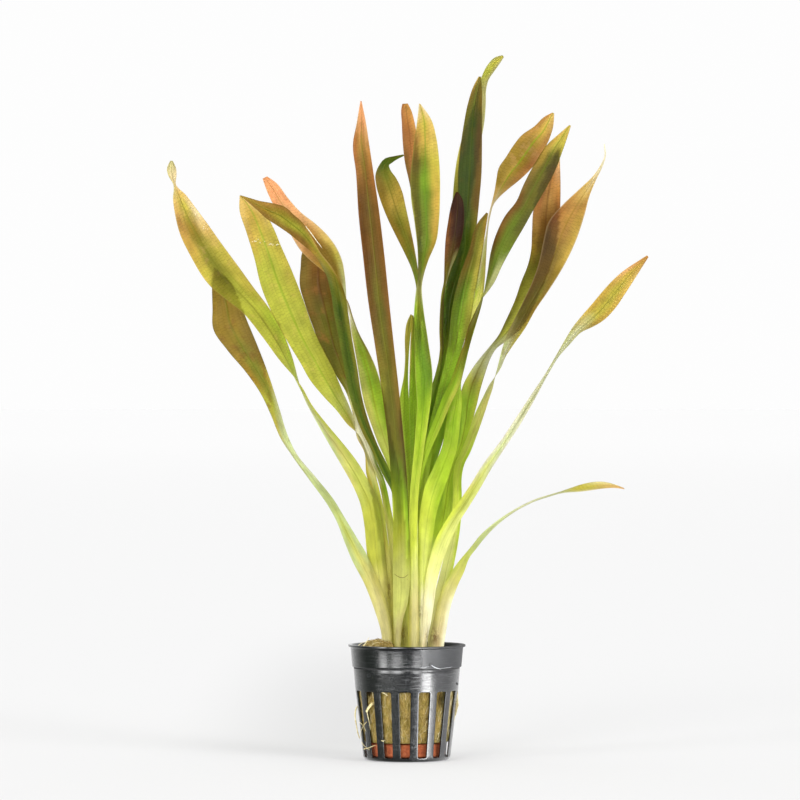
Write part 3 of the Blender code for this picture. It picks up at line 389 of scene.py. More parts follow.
        (487.5, 65, 494.5, 71, 33, 2),
        (482.5, 74.5, 488.8, 79.5, 32, 3),
        (478.5, 86, 486.3, 89, 31, 3),
        (475, 103, 485.8, 104, 29.5, 3),
        (468, 122, 484.2, 123, 28, 4),
        (461.5, 140, 481, 141, 26.5, 4),
        (456.8, 160, 478, 161, 25, 4),
        (454, 181, 474, 182, 23, 4),
        (452.5, 200, 470.5, 201, 21, 4),
        (450, 225, 465.5, 226, 18.5, 4),
        (448, 250, 462, 251, 16, 3),
        (447, 275, 459, 276, 14, 3),
        (446, 300, 456, 301, 12, 2),
        (443, 340, 453, 341, 9, 2),
        (438, 380, 448, 381, 6.5, 1),
        (428, 420, 438, 421, 4.5, 1),
        (422, 460, 431, 461, 3, 0),
        (419, 500, 428, 500, 2.2, 0),
        (418.5, 560, 427, 560, 1.7, 0),
        (419, 652, 426, 652, 1.6, 0),
    ],
    "leaf_middle_red": [
        (456, 192, 458.2, 192, -3, 0),
        (453, 199, 462.5, 199, -3, 1),
        (450.5, 208, 464, 208, -3, 1.5),
        (448, 222, 464, 222, -3, 2),
        (445.7, 238, 461.5, 240, -3, 3),
        (444.6, 255, 456, 257, -2.8, 4),
        (444.2, 270, 450, 271, -2.6, 5),
        (443.6, 283, 446, 284, -2.4, 5),
        (441.5, 293, 444.5, 293, -2.2, 4.5),
        (440, 310, 443.8, 310, -1.8, 4),
        (439.3, 330, 443.2, 330, -1.4, 3.5),
        (439.8, 350, 443.6, 350, -1, 3),
        (437, 368, 441.5, 368, -0.8, 2),
        (431, 388, 437.5, 388, -0.7, 1),
        (426, 410, 433.5, 410, -0.7, 1),
        (422, 435, 430, 435, -0.7, 0),
        (419.5, 465, 427.5, 465, -0.8, 0),
        (418, 500, 426.5, 500, -0.8, 0),
        (418, 560, 426.5, 560, -0.8, 0),
        (419, 652, 426, 652, -0.8, 0),
    ],
    "leaf_middle_lime": [
        (486.3, 212.5, 488.2, 213.5, 1, 0),
        (479, 221, 487.3, 219, 0.8, 1),
        (474, 231, 485.5, 231, 0.5, 1),
        (470, 247, 483, 248, 0.2, 1),
        (464.5, 262, 480.5, 263, 0, 1),
        (459, 278, 477.5, 280, -0.2, 1),
        (455, 293, 474.5, 294, -0.4, 1),
        (451, 315, 471, 317, -0.7, 1),
        (449, 335, 465.5, 337, -1, 1),
        (446, 355, 459.5, 357, -1.3, 1),
        (441, 378, 452, 380, -1.6, 1),
        (434, 405, 443.5, 407, -2, 1),
        (428, 430, 437, 432, -2.2, 1),
        (423, 455, 432, 456, -2.3, 0.5),
        (420, 480, 428, 481, -2.3, 0),
        (418, 515, 426.5, 515, -2.2, 0),
        (418, 560, 427, 560, -2.1, 0),
        (418.5, 600, 427, 600, -2, 0),
        (419, 652, 426, 652, -2, 0),
    ],
    "leaf_middle_green": [
        (569.2, 125, 571, 125.6, 6, 0),
        (560, 133, 567.5, 137, 5, 1),
        (546, 146, 561.5, 154, 3.5, 2),
        (535, 163, 555, 171, 2, 3),
        (523, 186, 543, 193.5, 0, 3),
        (516.5, 201, 534, 209, -1, 4),
        (505, 216, 524, 227, -2.5, 4),
        (497, 232, 514, 244, -3.5, 5),
        (491, 251, 503, 264, -4.5, 6),
        (487.5, 272, 494, 283, -5.5, 6.5),
        (484.8, 288, 487.3, 292.5, -6, 6),
        (482.3, 302, 480.8, 300.5, -6.5, 5.5),
        (478.5, 316, 474, 314, -7, 5),
        (473.5, 331, 467.5, 329, -7.3, 5),
        (470, 345, 464, 343, -7.6, 4.5),
        (465, 364, 457.5, 361, -8, 4),
        (461, 382, 451, 379, -8, 3.5),
        (450.5, 405, 441, 401, -7.6, 3),
        (441.5, 426, 433, 422, -6.8, 2),
        (430, 452, 423, 449, -5.6, 1),
        (423, 474, 417, 472, -4.8, 0.5),
        (418.5, 500, 412.5, 500, -4.3, 0),
        (416, 540, 410.5, 540, -3.9, 0),
        (415.5, 600, 410, 600, -3.7, 0),
        (415.5, 652, 410.5, 652, -3.7, 0),
    ],
    "leaf_middle_gold": [
        (552.3, 112.5, 554.2, 113.5, 22, 0),
        (544, 117, 553.6, 124, 21, 1),
        (534.7, 126, 550.5, 136, 20, 2),
        (521.5, 135.4, 544, 150, 18.5, 2),
        (513, 146, 538, 160.5, 17, 3),
        (506, 157, 530, 170, 15.5, 3),
        (498.5, 168.5, 519.5, 180, 14, 4),
        (496.3, 180, 509, 188.5, 13, 5),
        (494.3, 192, 500, 196.5, 12, 6),
        (491.5, 203.5, 493.3, 205, 11, 6),
        (488.2, 217, 489.9, 217.5, 9.5, 5),
        (485.7, 235, 487.6, 235, 8, 4),
        (480.5, 255, 486.3, 255, 6.5, 3),
        (477, 280, 484.8, 280, 5, 3),
        (473.5, 300, 482.5, 300, 4, 3),
        (469.8, 320, 477, 321, 2.6, 2),
        (465, 345, 469.7, 346, 1, 2),
        (459.5, 365, 465, 366, -0.5, 2),
        (455, 383, 461, 384, -1.6, 1.5),
        (450.5, 400, 462, 402, -2.4, 1),
        (446.5, 418, 460.5, 420, -3, 1),
        (441.5, 448, 456.5, 451, -3.6, 1),
        (433, 468, 450, 472, -3.8, 1),
        (426, 483, 445, 487, -3.9, 1),
        (420.5, 508, 437, 512, -3.9, 0.5),
        (418.2, 530, 433.4, 532, -3.7, 0),
        (418, 545, 431.4, 546, -3.5, 0),
        (417.8, 560, 430, 560, -3.4, 0),
        (417.6, 600, 428.4, 600, -3.3, 0),
        (417.4, 652, 426, 652, -3.3, 0),
    ],
    "leaf_middle_rust": [
        (557.6, 150, 559.8, 150, 34, 0),
        (549, 165, 560, 163, 33.5, 1),
        (542, 180, 560.5, 180, 33, 2),
        (536, 196, 560.5, 197, 32, 3),
        (533, 213, 560, 214, 31, 4),
        (532, 232, 558.5, 234, 29.5, 4),
        (531, 251, 554.5, 254, 28, 4),
        (527.5, 266, 549, 271, 26.5, 4),
        (521.5, 281, 542.5, 287, 25, 4),
        (515, 300, 533.5, 307, 23, 4),
        (506, 320, 522, 327, 21, 5),
        (498, 336, 508, 340, 19, 6),
        (490, 346, 497, 348, 17.5, 6),
        (480, 358, 490.5, 358.5, 16, 5),
        (470, 372, 485.3, 373, 14.5, 3),
        (462, 388, 480, 391, 13, 2),
        (459, 402, 477, 404, 12, 1),
        (459.5, 420, 472.5, 421, 11.2, 1),
        (457, 440, 467, 441, 10.5, 1),
        (450, 460, 461, 461, 9.6, 1),
        (443, 480, 455.5, 481, 8.7, 0.5),
        (438, 505, 453.5, 506, 7.9, 0),
        (432.5, 530, 450, 531, 6.8, 0),
        (428.5, 556, 442.5, 557, 5.8, 0),
        (426, 580, 437.5, 580, 4.4, 0),
        (421.5, 610, 430, 610, 3.0, 0),
        (420.5, 652, 426.5, 652, 2.7, 0),
    ],
    "leaf_middle_wide": [
        (647, 255.3, 648.6, 257, -32, 0),
        (638, 261, 643.5, 265, -31, 1),
        (624.5, 270, 636, 277, -29.5, 2),
        (612, 281, 625, 294, -28, 3),
        (602, 292, 615.5, 308, -26.5, 3),
        (592, 304, 604, 320, -25, 4),
        (582, 315.5, 592.5, 327, -23.5, 4),
        (573.5, 326, 581, 332.5, -22, 4),
        (566, 338, 570, 344, -20.5, 4),
        (556.3, 355, 558.6, 357, -19, 3.5),
        (546.6, 371.5, 548.9, 373, -17.5, 3),
        (529, 398, 533.5, 401.5, -15, 2),
        (515, 419.5, 520.5, 424, -13.3, 2),
        (499.5, 442.5, 505.5, 447, -11.7, 2),
        (484, 463, 491.5, 468.5, -10.2, 2),
        (470.5, 484.5, 479.5, 489.5, -8.8, 1),
        (458, 503, 467.5, 509, -7.6, 1),
        (451.4, 512, 461.6, 518, -7, 0.5),
        (443, 525.5, 455.5, 530, -6.3, 0),
        (437, 536, 450.4, 541, -5.9, 0),
        (433, 547, 446, 552, -5.6, 0),
        (428.8, 562, 441.8, 564, -5.3, 0),
        (425.6, 578, 437.5, 580, -5, 0),
        (424, 599, 434.5, 600, -4.8, 0),
        (422.5, 621, 431.3, 621, -4.7, 0),
        (420.5, 643, 427, 643, -4.6, 0),
        (420, 652, 426, 652, -4.6, 0),
    ],
    "leaf_right_hair_tip": [
        (603.6, 144, 605, 144, 22, 0),
        (604.4, 156, 605.9, 156, 21.5, 0.3),
        (600.4, 165.3, 602.2, 167.2, 21, 0.5),
        (593.5, 175.5, 596.5, 179, 20.5, 1),
        (579.5, 189, 589.5, 196, 19.5, 2),
        (562, 205.5, 584.5, 215, 18.5, 3),
        (548.5, 222, 577, 238, 17.5, 4),
        (543, 243, 567.5, 259, 16.5, 4),
        (539, 262, 558.5, 275, 15.5, 4),
        (533, 280, 548, 291.5, 14.5, 4),
        (524, 300, 536, 309, 13.5, 4),
        (514, 320, 525, 328.5, 12.5, 4),
        (506, 337, 514, 344, 11.5, 5),
        (501.5, 351, 505.5, 357, 11, 5),
        (497.5, 367, 500, 369.5, 10.3, 4.5),
        (495.2, 376, 494, 378, 10, 4),
        (493.5, 385, 490, 383.5, 9.5, 3.5),
        (488.5, 401, 482, 399, 9, 3),
        (483, 418, 474, 416, 8.4, 3),
        (477, 435, 468.5, 433, 7.8, 3),
        (470, 453, 461, 451, 7.3, 3),
        (464.5, 464, 455.5, 463, 6.9, 2.5),
        (461.8, 477, 453, 477, 6.6, 2),
        (461.8, 495, 453, 495, 6.2, 1),
        (461.3, 515, 452, 515, 5.7, 0),
        (458.5, 540, 448.5, 540, 5.2, 0),
        (455.5, 557, 444, 557, 4.9, 0),
        (451.5, 576, 439.5, 575, 4.6, 0),
        (445.5, 600, 433.5, 600, 4.5, 0),
        (441, 625, 429.2, 625, 4.5, 0),
        (439, 652, 427.6, 652, 4.5, 0),
    ],
    "leaf_right_arching": [
        (623.6, 487.8, 624.9, 489.3, -22, 0),
        (615, 484.5, 615, 487.9, -21, -1),
        (604, 481.8, 602.5, 488.6, -20, -3),
        (593, 482, 591, 490.3, -19, -4),
        (580.5, 484.6, 579, 491.8, -18, -4),
        (568, 488.8, 567, 492.5, -17, -3),
        (558.5, 492, 558.3, 493.7, -16, -2.5),
        (551, 494.2, 551.3, 495.8, -15.2, -2.5),
        (534.3, 499.5, 534.9, 501.2, -13.2, -2.5),
        (518.7, 507, 519.5, 508.8, -11.3, -2.5),
        (503.5, 516.2, 505, 518.6, -9.4, -2.5),
        (490, 526.3, 492.5, 529.5, -7.6, -2),
        (479.5, 536, 483, 540, -6, -2),
        (472, 545.5, 476, 549, -4.8, -1.5),
        (464, 555, 469.3, 558, -3.6, -1),
        (456.3, 564.5, 464, 572, -2.4, 0),
        (448.8, 576, 458.4, 584, -1.3, 0),
        (442, 590, 453.2, 598, -0.3, 0),
        (437.4, 605, 449.6, 611, 0.4, 0),
        (433, 622, 447, 626, 0.8, 0),
        (429.8, 640, 444.6, 641, 1, 0),
        (429, 652, 443, 652, 1, 0),
    ],
}


def smooth_rows(stations, fine):
    """Rows of (margin 1, margin 2) in mm along a leaf, on a curve through its stations."""
    pts = []
    for u1, v1, u2, v2, y, dy in stations:
        pts.append((*place(u1, v1, y - dy / 2), *place(u2, v2, y + dy / 2)))
    pts = np.array(pts)
    mid = (pts[:, :3] + pts[:, 3:]) / 2
    step = np.linalg.norm(np.diff(mid, axis=0), axis=1)
    at = np.concatenate([[0.0], np.cumsum(np.maximum(step, 0.5))])
    slope = np.zeros_like(pts)
    secant = np.diff(pts, axis=0) / np.diff(at)[:, None]
    slope[0], slope[-1] = secant[0], secant[-1]
    for k in range(1, len(pts) - 1):
        a, b = at[k] - at[k - 1], at[k + 1] - at[k]
        slope[k] = (secant[k - 1] * b + secant[k] * a) / (a + b)
    count = int(at[-1] / fine)
    out, knots = [], []
    for s in np.linspace(0.0, at[-1], count + 1):
        k = int(min(max(np.searchsorted(at, s, side="right") - 1, 0), len(at) - 2))
        h = at[k + 1] - at[k]
        t = (s - at[k]) / h
        out.append((2 * t**3 - 3 * t**2 + 1) * pts[k] + (t**3 - 2 * t**2 + t) * h * slope[k]
                   + (-2 * t**3 + 3 * t**2) * pts[k + 1] + (t**3 - t**2) * h * slope[k + 1])
        knots.append(k + t)
    return np.array(out), np.array(knots)


# ---------------------------------------------------------------- mesh helpers
def add_mesh(name, verts, faces, mat, uvs=None, floats=None, sharp=None, smooth=True):
    """A mesh object from millimetre points; uvs is one (u, v) for each vertex."""
    mesh = bpy.data.meshes.new(name)
    mesh.from_pydata((np.asarray(verts, float) * MM).tolist(), [], faces)
    mesh.update()
    if uvs is not None:
        layer = mesh.uv_layers.new(name="LeafMap")
        index = np.zeros(len(mesh.loops), np.int32)
        mesh.loops.foreach_get("vertex_index", index)
        layer.data.foreach_set("uv", np.asarray(uvs, np.float32)[index].ravel())
    for key, values in (floats or {}).items():
        attribute = mesh.attributes.new(key, "FLOAT", "POINT")
        attribute.data.foreach_set("value", np.asarray(values, np.float32))
    if smooth:
        mesh.shade_smooth()
        if sharp is not None:
            mesh.set_sharp_from_angle(angle=math.radians(sharp))
    mesh.materials.append(mat)
    obj = bpy.data.objects.new(name, mesh)
    bpy.context.scene.collection.objects.link(obj)
    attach(obj, "root")
    return obj


def outward(verts, faces):
    """The same faces, turned so that they look out of the closed shape."""
    v = np.asarray(verts, float)
    total = 0.0
    for f in faces:
        a = v[f[0]]
        for i in range(1, len(f) - 1):
            total += a @ np.cross(v[f[i]], v[f[i + 1]])
    return [list(reversed(f)) for f in faces] if total < 0 else faces


def strand(path, radii, sides=4, start=0):
    """Vertices and faces of a closed tube along path (mm), to be joined with others."""
    path = np.asarray(path, float)
    n = len(path)
    along = np.gradient(path, axis=0)
    along /= np.maximum(np.linalg.norm(along, axis=1), 1e-9)[:, None]
    ref = np.array([0.0, 0.0, 1.0]) if abs(along[0][2]) < 0.8 else np.array([1.0, 0.0, 0.0])
    verts, faces = [], []
    side = np.cross(along[0], ref)
    for k in range(n):
        side = side - along[k] * (side @ along[k])
        side /= max(np.linalg.norm(side), 1e-9)
        up = np.cross(along[k], side)
        r = radii[k] if hasattr(radii, "__len__") else radii
        for i in range(sides):
            a = 2 * math.pi * i / sides
            verts.append(path[k] + (side * math.cos(a) + up * math.sin(a)) * r)
    for k in range(n - 1):
        for i in range(sides):
            j = (i + 1) % sides
            p = start + k * sides
            faces.append([p + i, p + j, p + sides + j, p + sides + i])
    faces.append([start + i for i in reversed(range(sides))])
    faces.append([start + (n - 1) * sides + i for i in range(sides)])
    return verts, faces


def spline_path(points, per=6):
    """A smooth path through the points."""
    pts = [np.asarray(p, float) for p in points]
    out = []
    for k in range(len(pts) - 1):
        p0, p1 = pts[max(k - 1, 0)], pts[k]
        p2, p3 = pts[k + 1], pts[min(k + 2, len(pts) - 1)]
        for i in range(per):
            t = i / per
            out.append(0.5 * (2 * p1 + (p2 - p0) * t + (2 * p0 - 5 * p1 + 4 * p2 - p3) * t * t
                              + (3 * p1 - p0 - 3 * p2 + p3) * t**3))
    out.append(pts[-1])
    return np.array(out)


class Joined:
    """Collects many small closed shapes into one mesh."""

    def __init__(self):
        self.verts, self.faces, self.shade = [], [], []

    def strand(self, path, radii, sides=4, shade=0.5):
        v, f = strand(path, radii, sides, len(self.verts))
        self.verts += v
        self.faces += f
        self.shade += [shade] * len(v)

    def add(self, name, mat, slot):
        return add_mesh(name, self.verts, self.faces, mat, floats={"Shade": self.shade})


# ---------------------------------------------------------------- node helper
def linear(hexa):
    out = []
    for i in (0, 2, 4):
        c = int(hexa[i:i + 2], 16) / 255
        out.append(c / 12.92 if c <= 0.04045 else ((c + 0.055) / 1.055) ** 2.4)
    return (*out, 1.0)


class Net:
    """A small writer of shader nodes."""

    def __init__(self, name, world=None):
        self.mat = world or bpy.data.materials.new(name)
        self.mat.use_nodes = True
        self.tree = self.mat.node_tree
        self.tree.nodes.clear()
        self.out = self.tree.nodes.new("ShaderNodeOutputWorld" if world else "ShaderNodeOutputMaterial")

    def put(self, socket, value):
        if isinstance(value, bpy.types.NodeSocket):
            self.tree.links.new(value, socket)
        else:
            socket.default_value = value

    def add(self, kind, inputs=None, **props):
        node = self.tree.nodes.new(kind)
        for key, value in props.items():
            setattr(node, key, value)
        for key, value in (inputs or {}).items():
            self.put(node.inputs[key], value)
        return node

    def math(self, op, a, b=0.0, c=0.0, clamp=False):
        node = self.add("ShaderNodeMath", {0: a, 1: b, 2: c}, operation=op, use_clamp=clamp)
        return node.outputs[0]

    def vmath(self, op, a, b=(0, 0, 0)):
        node = self.add("ShaderNodeVectorMath", {0: a, 1: b}, operation=op)
        return node.outputs[0]

    def mix(self, fac, a, b, kind="MIX"):
        node = self.add("ShaderNodeMix", data_type="RGBA", blend_type=kind, clamp_factor=True)
        self.put(node.inputs[0], fac)
        self.put(node.inputs[6], a)
        self.put(node.inputs[7], b)
        return node.outputs[2]

    def range(self, x, a, b, c=0.0, d=1.0, smooth=True):
        node = self.add("ShaderNodeMapRange", {0: x, 1: a, 2: b, 3: c, 4: d},
                        interpolation_type="SMOOTHSTEP" if smooth else "LINEAR")
        return node.outputs[0]

    def ramp(self, fac, stops, mode="LINEAR"):
        node = self.add("ShaderNodeValToRGB", {0: fac})
        ramp = node.color_ramp
        ramp.interpolation = mode
        stops = sorted(stops, key=lambda s: s[0])
        while len(ramp.elements) < len(stops):
            ramp.elements.new(0.5)
        for element, (at, _) in zip(ramp.elements, stops):
            element.position = at
        for element, (_, colour) in zip(ramp.elements, stops):
            element.color = colour
        return node.outputs[0]

    def noise(self, vec, scale=1.0, detail=2.0, rough=0.5, distort=0.0, colour=False):
        node = self.add("ShaderNodeTexNoise", {"Vector": vec, "Scale": scale, "Detail": detail,
                                               "Roughness": rough, "Distortion": distort})
        return node.outputs[1 if colour else 0]

    def combine(self, x=0.0, y=0.0, z=0.0):
        return self.add("ShaderNodeCombineXYZ", {0: x, 1: y, 2: z}).outputs[0]

    def separate(self, vec):
        return self.add("ShaderNodeSeparateXYZ", {0: vec}).outputs

    def attribute(self, name):
        return self.add("ShaderNodeAttribute", attribute_name=name).outputs["Fac"]

    def place_mm(self):
        """The point on the object in mm, from its own coordinates."""
        return self.vmath("SCALE", self.add("ShaderNodeTexCoord").outputs["Object"])

    def bump(self, height, strength=0.5, distance=0.0002, normal=None):
        node = self.add("ShaderNodeBump", {"Height": height, "Strength": strength, "Distance": distance})
        if normal is not None:
            self.put(node.inputs["Normal"], normal)
        return node.outputs[0]

    def principled(self, colour, roughness, normal=None, specular=0.5, **more):
        node = self.add("ShaderNodeBsdfPrincipled", {"Base Color": colour, "Roughness": roughness,
                                                     "Specular IOR Level": specular})
        for key, value in more.items():
            self.put(node.inputs[key.replace("_", " ")], value)
        if normal is not None:
            self.put(node.inputs["Normal"], normal)
        return node.outputs[0]

    def finish(self, shader):
        self.tree.links.new(shader, self.out.inputs["Surface"])
        return self.mat


def object_mm(net):
    """Object coordinates in mm."""
    node = net.add("ShaderNodeVectorMath", operation="SCALE")
    net.put(node.inputs[0], net.add("ShaderNodeTexCoord").outputs["Object"])
    node.inputs["Scale"].default_value = 1000.0
    return node.outputs[0]


# ---------------------------------------------------------------- leaf colours
PALETTE = {
    "salmon": "df9a66", "rose": "cf9f68", "tan": "cbac5e", "gold": "b89a42", "golddark": "8e7424",
    "amber": "b88440", "sienna": "9a6430", "umber": "786224", "brown": "74501e", "rust": "98622c",
    "redbrown": "56300e", "reddark": "42200a", "olive": "7a7824", "olivedark": "565618",
    "moss": "62741c", "forest": "425810", "green": "66881c", "leaf": "80a01e", "fresh": "9ab42a",
    "lime": "b4c442", "citron": "a8aa3c", "yellow": "cac662", "ochre": "b2a640", "pale": "ccd894",
    "paleyellow": "e2e290", "cream": "eee8bc", "ivory": "f5f2d2", "beige": "dcc898",
    "greygreen": "b0b278", "sheen": "c4c69e", "reed": "acb250", "straw": "bfb966", "wheat": "ccc486",
    "sage": "abb676", "brightlime": "c6d04a", "primrose": "d0d47a", "canary": "d4da74", "coffee": "583608",
    "bark": "604a18", "peat": "5e5a18", "redrust": "74461a", "bronze": "a27a3a", "khaki": "989258", "milk": "d6d6b4",
}

